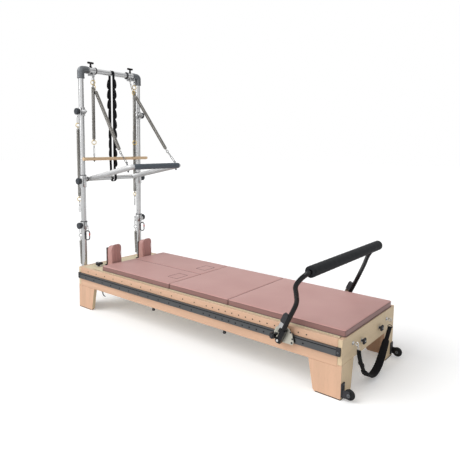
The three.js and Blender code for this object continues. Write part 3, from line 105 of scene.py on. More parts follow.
# Ends of a push spring's coil: share of the straight way between its eyes, and drop under it
PUSH_COILS = {"near": ((0.068, 85), (0.774, 52)), "far": ((0.147, 42), (0.799, 28))}
UPPER_Z, MIDDLE_Z, LOWER_Z = 1631, 1057, 681
ROLL_X, ROLL_OFFSET = 12, 22
ROLL_BAR_Z, ROLL_BAR_LENGTH, ROLL_BAR_SHIFT = 1242, 696, 22
BACK_EYE_X = -84

# The photograph's camera: turns in degrees, its place, and its lens and middle row in the picture's pixels
CAMERA_TURNS = (38.472, -6.763, 0.774)
CAMERA_AT = (3492.178, -2365.928, 1391.707)
PHOTO_PIXELS = 460
FOCAL_PIXELS = 490.079
MIDDLE_ROW = 200.968
SENSOR = 36


def flip(y, out):
    """A near-side Y on the side that out names: -1 near, 1 far."""
    return y if out < 0 else WIDTH - y


def spread(out, distance):
    return MIDDLE + out * distance


def placed(point):
    """A place in millimetres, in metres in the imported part's frame."""
    return Vector((HEAD + point[0] * MM, NEAR + point[1] * MM, point[2] * MM))


# Shapes: each gives points in millimetres, faces, and UVs where a pattern follows the surface


def axes(direction):
    """A direction and two more square to it, right-handed as side, up, ahead."""
    ahead = Vector(direction).normalized()
    helper = Vector((0, 0, 1)) if abs(ahead.z) < 0.9 else Vector((1, 0, 0))
    side = ahead.cross(helper).normalized()
    return side, ahead.cross(side), ahead


def skin(loops, closed=False):
    """Faces over loops of points that run counter-clockwise seen from the last one."""
    count = len(loops[0])
    points = [p for loop in loops for p in loop]
    faces = []
    for i in range(len(loops) if closed else len(loops) - 1):
        j = (i + 1) % len(loops)
        for k in range(count):
            n = (k + 1) % count
            faces.append([i * count + k, i * count + n, j * count + n, j * count + k])
    if not closed:
        faces.append(list(range(count))[::-1])
        faces.append([(len(loops) - 1) * count + k for k in range(count)])
    return points, faces


def sweep(path, radius, sides, closed=False):
    """A round tube along points, with one radius or one for each point."""
    path = [Vector(p) for p in path]
    radii = radius if isinstance(radius, (list, tuple)) else [radius] * len(path)
    last = len(path) - 1
    side = None
    loops = []
    for i, point in enumerate(path):
        after = path[(i + 1) % len(path)] if closed else path[min(i + 1, last)]
        before = path[i - 1] if closed else path[max(i - 1, 0)]
        ahead = (after - before).normalized()
        side = axes(ahead)[0] if side is None else (side - ahead * side.dot(ahead)).normalized()
        up = ahead.cross(side)
        turn = [2 * math.pi * k / sides for k in range(sides)]
        loops.append([point + (side * math.cos(a) + up * math.sin(a)) * radii[i] for a in turn])
    return skin(loops, closed)


def turned(origin, direction, profile, sides, closed=False, lobes=0, depth=0.0, phase=0.0):
    """A turned shape from (along, radius) pairs, its rim cut into soft lobes where depth says so."""
    side, up, ahead = axes(direction)
    origin = Vector(origin)
    loops = []
    for along, radius in profile:
        loop = []
        for k in range(sides):
            a = 2 * math.pi * k / sides
            r = radius * (1 - depth * (1 - math.cos(lobes * (a + phase))) / 2)
            loop.append(origin + ahead * along + (side * math.cos(a) + up * math.sin(a)) * r)
        loops.append(loop)
    return skin(loops, closed)


def sleeve(origin, direction, length, outer, inner, edge=1.5, sides=32):
    """A bored ring with its outer edges rounded."""
    profile = [
        (0, inner),
        (0, outer - edge),
        (edge * 0.3, outer - edge * 0.3),
        (edge, outer),
        (length - edge, outer),
        (length - edge * 0.3, outer - edge * 0.3),
        (length, outer - edge),
        (length, inner),
    ]
    return turned(origin, direction, profile, sides, closed=True)


def disc(origin, direction, length, radius, edge, sides=20):
    """A round plug with rounded edges."""
    profile = [(0, radius - edge), (edge, radius), (length - edge, radius), (length, radius - edge)]
    return turned(origin, direction, profile, sides)


def ring(centre, direction, radius, wire, steps, sides):
    """A closed ring of round wire."""
    side, up, _ = axes(direction)
    centre = Vector(centre)
    turn = [2 * math.pi * k / steps for k in range(steps)]
    return sweep([centre + (side * math.cos(a) + up * math.sin(a)) * radius for a in turn], wire, sides, True)


def link(start, end, width, wire, facing=(0, 1, 0), steps=8, sides=8):
    """A long closed link of round wire between two points: straight sides and half round ends."""
    start, end = Vector(start), Vector(end)
    along = (end - start).normalized()
    across = along.cross(Vector(facing)).normalized()
    half = width / 2
    path = []
    for centre, way in ((start + along * half, -1), (end - along * half, 1)):
        for k in range(steps + 1):
            a = math.pi * k / steps
            path.append(centre + (across * math.cos(a) * -way + along * math.sin(a) * way) * half)
    return sweep(path, wire, sides, True)


def slab(outline, axis, start, end):
    """A slab from an outline in the other two directions, (y, z) for x, (x, z) for y, (x, y) for z."""
    area = sum(a[0] * b[1] - b[0] * a[1] for a, b in zip(outline, outline[1:] + outline[:1]))
    if (area < 0) != (axis == "y"):
        outline = outline[::-1]
    orders = {"x": lambda a, b, v: (v, a, b), "y": lambda a, b, v: (a, v, b), "z": lambda a, b, v: (a, b, v)}
    put = orders[axis]
    return skin([[Vector(put(a, b, v)) for a, b in outline] for v in sorted((start, end))])


def block(x0, x1, y0, y1, z0, z1):
    xs, ys = sorted((x0, x1)), sorted((y0, y1))
    return slab([(xs[0], ys[0]), (xs[1], ys[0]), (xs[1], ys[1]), (xs[0], ys[1])], "z", z0, z1)


def rounded(x0, x1, y0, y1, radius, steps, spacing=0):
    """A rectangle's outline with round corners, its straight sides split to a spacing."""
    corners = [
        (x1 - radius, y1 - radius), (x0 + radius, y1 - radius), (x0 + radius, y0 + radius),
        (x1 - radius, y0 + radius)
    ]
    points = []
    for quarter, (x, y) in enumerate(corners):
        for i in range(steps + 1):
            a = (quarter + i / steps) * math.pi / 2
            points.append((x + radius * math.cos(a), y + radius * math.sin(a)))
    if not spacing:
        return points
    split = []
    for a, b in zip(points, points[1:] + points[:1]):
        parts = max(1, round(math.dist(a, b) / spacing))
        split += [(a[0] + (b[0] - a[0]) * k / parts, a[1] + (b[1] - a[1]) * k / parts) for k in range(parts)]
    return split


def curve(points, count):
    """An evenly spaced smooth line through points, as the CAD's tube follows."""
    points = [Vector(p) for p in points]
    whole = [points[0] * 2 - points[1], *points, points[-1] * 2 - points[-2]]
    fine = []
    for i in range(1, len(whole) - 2):
        p = whole[i - 1 : i + 3]
        t = [0.0]
        for a, b in zip(p, p[1:]):
            t.append(t[-1] + max((b - a).length, 1e-6) ** 0.5)
        for k in range(24):
            s = t[1] + (t[2] - t[1]) * k / 24
            a1, a2, a3 = (p[j].lerp(p[j + 1], (s - t[j]) / (t[j + 1] - t[j])) for j in range(3))
            b1 = a1.lerp(a2, (s - t[0]) / (t[2] - t[0]))
            b2 = a2.lerp(a3, (s - t[1]) / (t[3] - t[1]))
            fine.append(b1.lerp(b2, (s - t[1]) / (t[2] - t[1])))
    return spaced([*fine, points[-1]], count)


def bend(corner, back, onward, reach):
    """The middle line of a bend, from reach before its corner to reach after it."""
    steps = [k / 8 for k in range(9)]
    return [corner + back * reach * (1 - t) ** 2 + onward * reach * t**2 for t in steps]


def spaced(points, count):
    """The same line with its points at even distances."""
    run = [0.0]
    for a, b in zip(points, points[1:]):
        run.append(run[-1] + (b - a).length)
    made, j = [], 0
    for i in range(count + 1):
        goal = run[-1] * i / count
        while j < len(run) - 2 and run[j + 1] < goal:
            j += 1
        made.append(points[j].lerp(points[j + 1], (goal - run[j]) / max(run[j + 1] - run[j], 1e-9)))
    return made


def band(path, across, width, thickness, round_share, taper=0):
    """A strap along points, as wide as it says in the direction across, with UVs in metres."""
    path = [Vector(p) for p in path]
    across = Vector(across).normalized()
    edge = thickness * round_share
    half, thin = width / 2, thickness / 2
    section = [
        (half - edge, -thin),
        (half - edge * 0.3, -thin * 0.7),
        (half, 0),
        (half - edge * 0.3, thin * 0.7),
        (half - edge, thin),
        (0, thin),
        (edge - half, thin),
        (edge * 0.3 - half, thin * 0.7),
        (-half, 0),
        (edge * 0.3 - half, -thin * 0.7),
        (edge - half, -thin),
        (0, -thin),
    ]
    loops, coords, run = [], [], 0.0
    last = len(path) - 1
    for i, point in enumerate(path):
        ahead = (path[min(i + 1, last)] - path[max(i - 1, 0)]).normalized()
        over = ahead.cross(across).normalized()
        run += (point - path[i - 1]).length if i else 0
        slim = 1 - taper * (1 - math.sin(math.pi * i / last) ** 0.4) if taper else 1
        loops.append([point + across * a * slim + over * b * slim for a, b in section])
        coords += [(a * MM, run * MM) for a, b in section]
    points, faces = skin(loops)
    return points, faces, coords


class Form:
    """A mesh in the making, with the finish of each face."""

    def __init__(self):
        self.points, self.faces, self.finishes, self.coords = [], [], [], []

    def add(self, shape, finish=0):
        points, faces, *coords = shape
        first = len(self.points)
        self.points += [placed(p) for p in points]
        self.faces += [[first + i for i in face] for face in faces]
        self.finishes += [finish] * len(faces)
        self.coords += coords[0] if coords else [(0.0, 0.0)] * len(points)
        return self

    def add_mesh(self, mesh, finish=0):
        first = len(self.points)
        self.points += [v.co.copy() for v in mesh.vertices]
        self.faces += [[first + i for i in p.vertices] for p in mesh.polygons]
        self.finishes += [finish] * len(mesh.polygons)
        self.coords += [(0.0, 0.0)] * len(mesh.vertices)
        return self


# Shader and geometry trees


class Field:
    """A node's output that can stand in an expression."""

    def __init__(self, graph, socket):
        self.graph, self.socket = graph, socket

    def _with(self, operation, first, second=0.0):
        return self.graph.node("ShaderNodeMath", {"operation": operation}, {0: first, 1: second})

    def __add__(self, other):
        return self._with("ADD", self, other)

    __radd__ = __add__

    def __sub__(self, other):
        return self._with("SUBTRACT", self, other)

    def __rsub__(self, other):
        return self._with("SUBTRACT", other, self)

    def __mul__(self, other):
        return self._with("MULTIPLY", self, other)

    __rmul__ = __mul__

    def __abs__(self):
        return self._with("ABSOLUTE", self)

    def above(self, limit):
        return self._with("GREATER_THAN", self, limit)

    def wave(self):
        """Its sine."""
        return self._with("SINE", self)


class Graph:
    """A node tree, with one method that adds any node."""

    def __init__(self, tree):
        self.tree = tree

    def node(self, kind, settings=None, values=None, output=0):
        made = self.tree.nodes.new(kind)
        for key, value in (settings or {}).items():
            if key == "stops":
                for i, (place, colour) in enumerate(value):
                    stop = made.color_ramp.elements[i] if i < 2 else made.color_ramp.elements.new(place)
                    stop.position, stop.color = place, colour
            else:
                setattr(made, key, value)
        for key, value in (values or {}).items():
            self.plug(made.inputs[key], value)
        return Field(self, made.outputs[output])

    def plug(self, socket, value):
        if isinstance(value, Field):
            self.tree.links.new(value.socket, socket)
        else:
            socket.default_value = value


class Look(Graph):
    """A material on Object coordinates, and the patterns that it is made from."""

    def __init__(self, name, **values):
        self.material = bpy.data.materials.new(name)
        self.material.use_nodes = True
        super().__init__(self.material.node_tree)
        self.shader = self.tree.nodes["Principled BSDF"]
        for key, value in values.items():
            self.set({key.replace("_", " "): value})

    def set(self, values):
        for key, value in values.items():
            self.plug(self.shader.inputs[key], rgba(value) if key == "Base Color" else value)

    def place(self, scale=(1, 1, 1), source="Object"):
        where = self.node("ShaderNodeTexCoord", output=source)
        return self.node("ShaderNodeMapping", {}, {"Vector": where, "Scale": scale})

    def noise(self, where, scale, detail=3.0, rough=0.5, bend=0.0):
        values = {"Vector": where, "Scale": scale, "Detail": detail, "Roughness": rough, "Distortion": bend}
        return self.node("ShaderNodeTexNoise", {}, values)

    def cells(self, where, scale):
        return self.node("ShaderNodeTexVoronoi", {}, {"Vector": where, "Scale": scale})

    def remap(self, value, low, high, to_low=0.0, to_high=1.0):
        return self.node("ShaderNodeMapRange", {}, {0: value, 1: low, 2: high, 3: to_low, 4: to_high})

    def mix(self, share, first, second):
        values = {0: share, 6: rgba(first), 7: rgba(second)}
        return self.node("ShaderNodeMix", {"data_type": "RGBA"}, values, 2)

    def bump(self, height, distance, strength, normal=None):
        values = {"Height": height, "Distance": distance * MM, "Strength": strength}
        if normal is not None:
            values["Normal"] = normal
        return self.node("ShaderNodeBump", {}, values)

    def part(self, where, axis):
        """One of X, Y and Z of a place."""
        return self.node("ShaderNodeSeparateXYZ", {}, {0: where}, axis)


def rgba(colour):
    return colour if isinstance(colour, Field) or len(colour) == 4 else (*colour, 1.0)


def darker(colour, share):
    return tuple(c * share for c in colour[:3])


def colours():
    return bpy.context.scene.reformer_colours


def sizes():
    return bpy.context.scene.reformer_sizes


def wood(name, colour, grain, top, ends=None):
    """Oiled hardwood with its grain along one axis; if asked, a painted light tone on top faces and a painted
    shade tone on faces turned along X.
    """
    look = Look(name, Specular_IOR_Level=0.35)
    stretch = {"x": (0.9, 9, 9), "y": (9, 0.9, 9), "z": (9, 9, 0.9)}[grain]
    where = look.place(stretch)
    figure = look.noise(where, 2.2, 5.0, 0.6, 0.9)
    pores = look.noise(look.place(tuple(s * 9 for s in stretch)), 3.4, 3.0, 0.65)
    boards = look.noise(look.place(), 1.3, 1.0)
    tone = look.mix(look.remap(figure, 0.32, 0.7), colour, darker(colour, 0.83))
    tone = look.mix(look.remap(boards, 0.3, 0.7, 0, 0.5), tone, darker(colour, 0.9))
    # Painted light: top faces take a lighter tone, as if lit from above.
    if top is not None:
        normal = look.node("ShaderNodeNewGeometry", output="Normal")
        tone = look.mix(
            look.remap(look.part(normal, 2), 0.5, 0.95), tone, look.mix(figure, top, darker(top, 0.86))
        )
    # Painted shade: faces turned along X take the khaki tone of ends in shade.
    if ends is not None:
        normal = look.node("ShaderNodeNewGeometry", output="Normal")
        tone = look.mix(
            look.remap(abs(look.part(normal, 0)), 0.9, 0.97), tone, look.mix(figure, ends, darker(ends, 0.86))
        )
    tone = look.mix(look.remap(pores, 0.56, 0.8, 0, 0.3), tone, darker(colour, 0.5))
    height = look.remap(pores, 0.3, 0.7) * 0.7 + figure * 0.3
    look.set({"Base Color": tone, "Roughness": look.remap(pores, 0.3, 0.8, 0.42, 0.6)})
    look.set({"Normal": look.bump(height, 0.12, 0.6)})
    return look.material


def vinyl(name, colour):
    """Upholstery vinyl with a fine leather grain and a little wear."""
    look = Look(name, Specular_IOR_Level=0.4, Sheen_Weight=0.12, Sheen_Roughness=0.5)
    where = look.place()
    grain = look.cells(where, 620)
    fold = look.noise(where, 18, 3.0, 0.5)
    patches = look.noise(where, 3.1, 2.0, 0.5)
    tone = look.mix(look.remap(patches, 0.3, 0.72), colour, darker(colour, 0.93))
    tone = look.mix(look.remap(grain, 0.0, 0.6, 0.2, 0), tone, darker(colour, 0.68))
    look.set({"Base Color": tone, "Roughness": look.remap(patches, 0.3, 0.7, 0.46, 0.56)})
    soft = look.bump(fold, 0.8, 0.25)
    look.set({"Normal": look.bump(grain, 0.18, 0.6, soft)})
    return look.material


def metal(name, colour, low, high, streaks=(1, 1, 1)):
    """Plated or brushed metal: smudged gloss, and brush marks along the axis with the small stretch."""
    look = Look(name, Metallic=1.0)
    smudge = look.noise(look.place(), 9, 3.0, 0.55)
    brushed = look.noise(look.place(streaks), 60, 2.0, 0.6)
    look.set({"Base Color": look.mix(look.remap(smudge, 0.25, 0.75), colour, darker(colour, 0.85))})
    look.set({"Roughness": look.remap(smudge * 0.5 + brushed * 0.5, 0.3, 0.7, low, high)})
    look.set({"Normal": look.bump(brushed, 0.03, 0.5)})
    return look.material


def moulded(name, colour, low, high, grain=900, depth=0.05):
    """Moulded plastic or paint with a fine texture."""
    look = Look(name, Specular_IOR_Level=0.28)
    fine = look.noise(look.place(), grain, 2.0, 0.6)
    dust = look.noise(look.place(), 14, 4.0, 0.6)
    worn = tuple(min(1, c * 1.7 + 0.004) for c in colour[:3])
    look.set({"Base Color": look.mix(look.remap(dust, 0.45, 0.8, 0, 0.6), colour, worn)})
    look.set({"Roughness": look.remap(dust, 0.3, 0.7, low, high)})
    look.set({"Normal": look.bump(fine, depth, 0.6)})
    return look.material


def sponge(name, colour):
    """Closed-cell foam sleeve."""
    look = Look(name, Specular_IOR_Level=0.14, Sheen_Weight=0.04, Roughness=0.8)
    pores = look.cells(look.place(), 900)
    lumps = look.noise(look.place(), 45, 4.0, 0.6)
    pale = tuple(min(1, c * 1.35 + 0.003) for c in colour[:3])
    tone = look.mix(look.remap(lumps, 0.35, 0.7), colour, pale)
    tone = look.mix(look.remap(pores, 0.0, 0.25, 0.5, 0), tone, darker(colour, 0.55))
    look.set({"Base Color": tone, "Roughness": look.remap(lumps, 0.3, 0.7, 0.68, 0.86)})
    look.set({"Normal": look.bump(pores * 0.6 + lumps, 0.35, 0.5)})
    return look.material


def weave(name, colour):
    """Narrow woven webbing: ribs across and along its own UVs."""
    look = Look(name, Specular_IOR_Level=0.12, Sheen_Weight=0.03, Roughness=0.85)
    where = look.place(source="UV")
    warp = look.part(where, 0) * 5200
    weft = look.part(where, 1) * 3100
    height = abs(warp.wave()) * 0.5 + abs((weft + warp * 0.5).wave()) * 0.5
    pale = tuple(min(1, c * 2.1 + 0.004) for c in colour[:3])
    look.set({"Base Color": look.mix(height, colour, pale), "Normal": look.bump(height, 0.25, 0.7)})
    return look.material


def birch(name, colour):
    """Turned and varnished birch, its grain along Y."""
    look = Look(name, Specular_IOR_Level=0.4, Coat_Weight=0.25)
    where = look.place((10, 0.8, 10))
    rings_seen = look.noise(where, 7, 4.0, 0.6, 0.4)
    tone = look.mix(look.remap(rings_seen, 0.3, 0.7), colour, darker(colour, 0.72))
    look.set({"Base Color": tone, "Roughness": look.remap(rings_seen, 0.3, 0.7, 0.3, 0.45)})
    look.set({"Normal": look.bump(rings_seen, 0.08, 0.5)})
    return look.material


def plywood(name, colour):
    """Birch ply: pale faces, and layers that show at the edges."""
    look = Look(name, Specular_IOR_Level=0.3)
    figure = look.noise(look.place((1, 8, 60)), 3.0, 4.0, 0.6, 0.5)
    layer = look.part(look.place(), 2) * (2 * math.pi / 0.0045)
    normal = look.node("ShaderNodeNewGeometry", output="Normal")
    edge = look.remap(abs(look.part(normal, 2)), 0.3, 0.7, 0.55, 0)
    tone = look.mix(look.remap(figure, 0.3, 0.7), colour, darker(colour, 0.85))
    tone = look.mix(edge * look.remap(layer.wave(), -0.3, 0.3), tone, darker(colour, 0.6))
    look.set({"Base Color": tone, "Roughness": look.remap(figure, 0.3, 0.7, 0.5, 0.65)})
    look.set({"Normal": look.bump(figure, 0.08, 0.5)})
    return look.material


def finish(name):
    """The named material, made on its first use."""
    known = bpy.data.materials.get(name)
    if known:
        return known
    c = colours()
    makers = {
        "maple_rail": lambda: wood(name, c.maple[:], "x", c.maple_top_painted_light[:]),
        "maple_upright": lambda: wood(name, c.maple[:], "z", None, c.maple_end[:]),
        # End boards in the painted shade tone of the ends, with the painted light tone on top.
        "maple_end": lambda: wood(name, c.maple_end[:], "y", c.maple_top_painted_light[:]),
        "deck_ply": lambda: plywood(name, c.ply[:]),
        "rose_vinyl": lambda: vinyl(name, c.vinyl[:]),
        # Painted shade: the vinyl at half brightness, for the mats' sides and the pads' channels.
        "rose_vinyl_side": lambda: vinyl(name, darker(c.vinyl[:], 0.5)),
        "rose_vinyl_deep": lambda: vinyl(name, darker(c.vinyl[:], 0.95)),
        # Seams, and painted shade in the gaps between and under the mats and round the plugs.
        "rose_seam": lambda: vinyl(name, darker(c.vinyl[:], 0.22)),
        "rose_thread": lambda: vinyl(name, darker(c.vinyl[:], 1.1)),
        "carrier_beige": lambda: metal(name, c.carrier[:], 0.42, 0.55, (1, 9, 9)),
        "polished_steel": lambda: metal(name, c.steel[:], 0.14, 0.26),
        "track_aluminium": lambda: metal(name, c.track[:], 0.34, 0.48, (0.4, 18, 18)),
        "tower_tube": lambda: metal(name, c.steel[:], 0.2, 0.32, (14, 14, 0.6)),
        "tower_tube_across": lambda: metal(name, c.steel[:], 0.2, 0.32, (14, 0.6, 14)),
        "arm_steel": lambda: metal(name, darker(c.steel[:], 0.95), 0.6, 0.7, (0.6, 14, 14)),
        "hook_steel": lambda: metal(name, darker(c.steel[:], 0.2), 0.22, 0.34),
        "cast_grey": lambda: metal(name, c.cast[:], 0.42, 0.55),
        "knob_grey": lambda: moulded(name, darker(c.slate_foam[:], 1.5), 0.45, 0.6),
        "plate_silver": lambda: metal(name, darker(c.steel[:], 0.6), 0.34, 0.5, (1, 9, 9)),
        "black_plastic": lambda: moulded(name, c.plastic[:], 0.38, 0.52),
        "black_gloss": lambda: moulded(name, c.paint[:], 0.16, 0.28, 260, 0.02),
        "tyre_rubber": lambda: moulded(name, darker(c.plastic[:], 0.9), 0.62, 0.8, 500, 0.12),
        "black_foam": lambda: sponge(name, c.foam[:]),
        "slate_foam": lambda: sponge(name, c.slate_foam[:]),
        "spring_wire": lambda: metal(name, c.spring[:], 0.24, 0.4),
        "turned_birch": lambda: birch(name, c.birch[:]),
        "black_webbing": lambda: weave(name, c.webbing[:]),
        "strap_thread": lambda: moulded(name, darker(c.webbing[:], 2.4), 0.6, 0.8),
        "brass": lambda: metal(name, c.brass[:], 0.18, 0.3),
        "red_accent": lambda: moulded(name, c.accent[:], 0.3, 0.42),
        "deep_black": lambda: moulded(name, (0.004, 0.004, 0.005), 0.7, 0.9),
    }
    return makers[name]()


def geometry_tree(name, inputs):
    """An empty Geometry Nodes tree with a seed geometry and the named inputs, ready for nodes."""
    tree = bpy.data.node_groups.new(name, "GeometryNodeTree")
    tree.interface.new_socket(name="Geometry", in_out="INPUT", socket_type="NodeSocketGeometry")
    for label, kind in inputs.items():
        tree.interface.new_socket(name=label, in_out="INPUT", socket_type="NodeSocket" + kind)
    tree.interface.new_socket(name="Geometry", in_out="OUTPUT", socket_type="NodeSocketGeometry")
    graph = Graph(tree)
    source = tree.nodes.new("NodeGroupInput")
    given = {label: Field(graph, source.outputs[label]) for label in ["Geometry", *inputs]}
    return graph, given


def close_tree(graph, geometry, material):
    """Ends a tree in Realize Instances and Set Material."""
    solid = graph.node("GeometryNodeRealizeInstances", {}, {"Geometry": geometry})
    painted = graph.node("GeometryNodeSetMaterial", {}, {"Geometry": solid, "Material": material})
    graph.plug(graph.tree.nodes.new("NodeGroupOutput").inputs["Geometry"], painted)
    return graph.tree


def stud_tree():
    """Round studs on points, each turned to its point's aim."""
    known = bpy.data.node_groups.get("studs")
    if known:
        return known
    graph, given = geometry_tree(
        "studs", {"Radius": "Float", "Depth": "Float", "Sides": "Int", "Finish": "Material"}
    )
    values = {"Vertices": given["Sides"], "Radius": given["Radius"], "Depth": given["Depth"]}
    stud = graph.node("GeometryNodeMeshCylinder", {}, values)
    aim = graph.node("GeometryNodeInputNamedAttribute", {"data_type": "FLOAT_VECTOR"}, {"Name": "aim"})
    turn = graph.node("FunctionNodeAlignRotationToVector", {"axis": "Z"}, {"Vector": aim})
    values = {"Points": given["Geometry"], "Instance": stud, "Rotation": turn}
    return close_tree(graph, graph.node("GeometryNodeInstanceOnPoints", {}, values), given["Finish"])


def stitch_tree():
    """Short threads laid at a pitch along lines."""
    known = bpy.data.node_groups.get("stitches")
    if known:
        return known
    inputs = {"Pitch": "Float", "Thread": "Float", "Stitch": "Float", "Finish": "Material"}
    graph, given = geometry_tree("stitches", inputs)
    line = graph.node("GeometryNodeMeshToCurve", {}, {"Mesh": given["Geometry"]})
    line = graph.node(
        "GeometryNodeResampleCurve", {"mode": "LENGTH"}, {"Curve": line, "Length": given["Pitch"]}
    )
    values = {"Vertices": 5, "Radius": given["Thread"], "Depth": given["Stitch"]}
    thread = graph.node("GeometryNodeMeshCylinder", {}, values)
    tangent = graph.node("GeometryNodeInputTangent")
    turn = graph.node("FunctionNodeAlignRotationToVector", {"axis": "Z"}, {"Vector": tangent})
    values = {"Points": line, "Instance": thread, "Rotation": turn}
    return close_tree(graph, graph.node("GeometryNodeInstanceOnPoints", {}, values), given["Finish"])


def coil_tree():
    """A close-wound spring from its start, along a direction."""
    known = bpy.data.node_groups.get("coil")
    if known:
        return known
    inputs = {
        "Start": "Vector",
        "Direction": "Vector",
        "Turns": "Float",
        "Radius": "Float",
        "Length": "Float",
        "Wire": "Float",
        "Finish": "Material",
    }
    graph, given = geometry_tree("coil", inputs)
    values = {"Resolution": 14, "Rotations": given["Turns"], "Height": given["Length"]}
    values |= {"Start Radius": given["Radius"], "End Radius": given["Radius"]}
    spiral = graph.node("GeometryNodeCurveSpiral", {}, values)
    values = {"Resolution": 6, "Radius": given["Wire"]}
    section = graph.node("GeometryNodeCurvePrimitiveCircle", {"mode": "RADIUS"}, values)
    values = {"Curve": spiral, "Profile Curve": section, "Fill Caps": True}
    wire = graph.node("GeometryNodeCurveToMesh", {}, values)
    turn = graph.node("FunctionNodeAlignRotationToVector", {"axis": "Z"}, {"Vector": given["Direction"]})
    values = {"Geometry": wire, "Translation": given["Start"], "Rotation": turn}
    return close_tree(graph, graph.node("GeometryNodeTransform", {}, values), given["Finish"])


def grown(tree, points, inputs, edges=(), aims=None):
    """Runs a tree once on a few points, and gives the plain mesh that it makes."""
    mesh = bpy.data.meshes.new("seed")
    mesh.from_pydata([placed(p) for p in points], list(edges), [])
    if aims is not None:
        aim = mesh.attributes.new("aim", "FLOAT_VECTOR", "POINT")
        aim.data.foreach_set("vector", [c for a in aims for c in a])
    seed = bpy.data.objects.new("seed", mesh)
    bpy.context.scene.collection.objects.link(seed)
    modifier = seed.modifiers.new("grow", "NODES")
    modifier.node_group = tree
    for item in tree.interface.items_tree:
        if item.in_out == "INPUT" and item.name in inputs:
            modifier[item.identifier] = inputs[item.name]
    made = evaluated(seed)
    bpy.data.objects.remove(seed)
    return made


def evaluated(obj):
    """The object's mesh with its modifiers applied."""
    bpy.context.view_layer.update()
    graph = bpy.context.evaluated_depsgraph_get()
    return bpy.data.meshes.new_from_object(obj.evaluated_get(graph), depsgraph=graph)


def studs(points, aims, radius, depth, sides):
    inputs = {"Radius": radius * MM, "Depth": depth * MM, "Sides": sides}
    return grown(stud_tree(), points, inputs, aims=aims)


def stitches(line, pitch, thread, stitch):
    inputs = {"Pitch": pitch * MM, "Thread": thread * MM, "Stitch": stitch * MM}
    return grown(stitch_tree(), line, inputs, edges=[(i, i + 1) for i in range(len(line) - 1)])


def coil(start, end):
    """The wound part of a spring between two points."""
    s = sizes()
    start, end = placed(start), placed(end)
    length = (end - start).length
    inputs = {
        "Start": start,
        "Direction": (end - start).normalized(),
        "Turns": round(length / s.coil_pitch),
        "Radius": s.coil_radius,
        "Length": length,
        "Wire": s.wire_radius,
    }
    return grown(coil_tree(), [(0, 0, 0)], inputs)


# Pieces


def make(name, form, looks, body, replaces=(), bevel=0.0, smooth=38):
    """Turns a form into a finished piece on its body."""
    mesh = bpy.data.meshes.new(name)
    mesh.from_pydata(form.points, [], form.faces)
    mesh.polygons.foreach_set("material_index", form.finishes)
    if any(c != (0.0, 0.0) for c in form.coords):
        layer = mesh.uv_layers.new(name="along")
        for loop in mesh.loops:
            layer.data[loop.index].uv = form.coords[loop.vertex_index]
    return finished(name, mesh, looks, body, replaces, bevel, smooth)


def finished(name, mesh, looks, body, replaces=(), bevel=0.0, smooth=38):
    """A mesh as a piece: its materials, rounded edges, shading, and place in the frame."""
    indices = [p.material_index for p in mesh.polygons]
    mesh.materials.clear()
    for look in looks if isinstance(looks, (list, tuple)) else [looks]:
        mesh.materials.append(finish(look))
    mesh.polygons.foreach_set("material_index", indices)
    obj = bpy.data.objects.new(name, mesh)
    bpy.context.scene.collection.objects.link(obj)
    if bevel:
        edge = obj.modifiers.new("edges", "BEVEL")
        edge.width, edge.segments, edge.limit_method = bevel * MM, 2, "ANGLE"
        edge.angle_limit = math.radians(34)
        edge.use_clamp_overlap = True
        obj.modifiers.new("facing", "WEIGHTED_NORMAL").keep_sharp = True
        obj.data.shade_smooth()
        plain = evaluated(obj)
        obj.modifiers.clear()
        obj.data = plain
    else:
        obj.data.shade_smooth()
        obj.data.set_sharp_from_angle(angle=math.radians(smooth))
    if body:
        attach(obj, body)
    if replaces:
        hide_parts(*replaces)
    return obj


def softened(node, looks, body, bevel):
    """A CAD node's own shape with rounded edges, in its place."""
    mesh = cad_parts[node].data.copy()
    tool = bmesh.new()
    tool.from_mesh(mesh)
    bmesh.ops.remove_doubles(tool, verts=tool.verts, dist=1e-5)
    bmesh.ops.dissolve_limit(tool, angle_limit=math.radians(1), verts=tool.verts, edges=tool.edges)
    tool.to_mesh(mesh)
    tool.free()
    for key in ("sharp_edge", "sharp_face", "custom_normal"):
        if mesh.attributes.get(key):
            mesh.attributes.remove(mesh.attributes[key])
    return finished(node + "_dressed", mesh, looks, body, (node,), bevel)


def dressed(node, look):
    """A CAD node kept as it is, with a better material."""
    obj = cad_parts[node]
    obj.data.materials.clear()
    obj.data.materials.append(finish(look))


def colour(name, description, default):
    """A colour property, linear."""
    return bpy.props.FloatVectorProperty(
        name=name, description=description, subtype="COLOR", default=default, min=0, max=1
    )


def length(name, description, default, low, high):
    """A length property in metres."""
    return bpy.props.FloatProperty(
        name=name, description=description, unit="LENGTH", default=default, min=low, max=high
    )


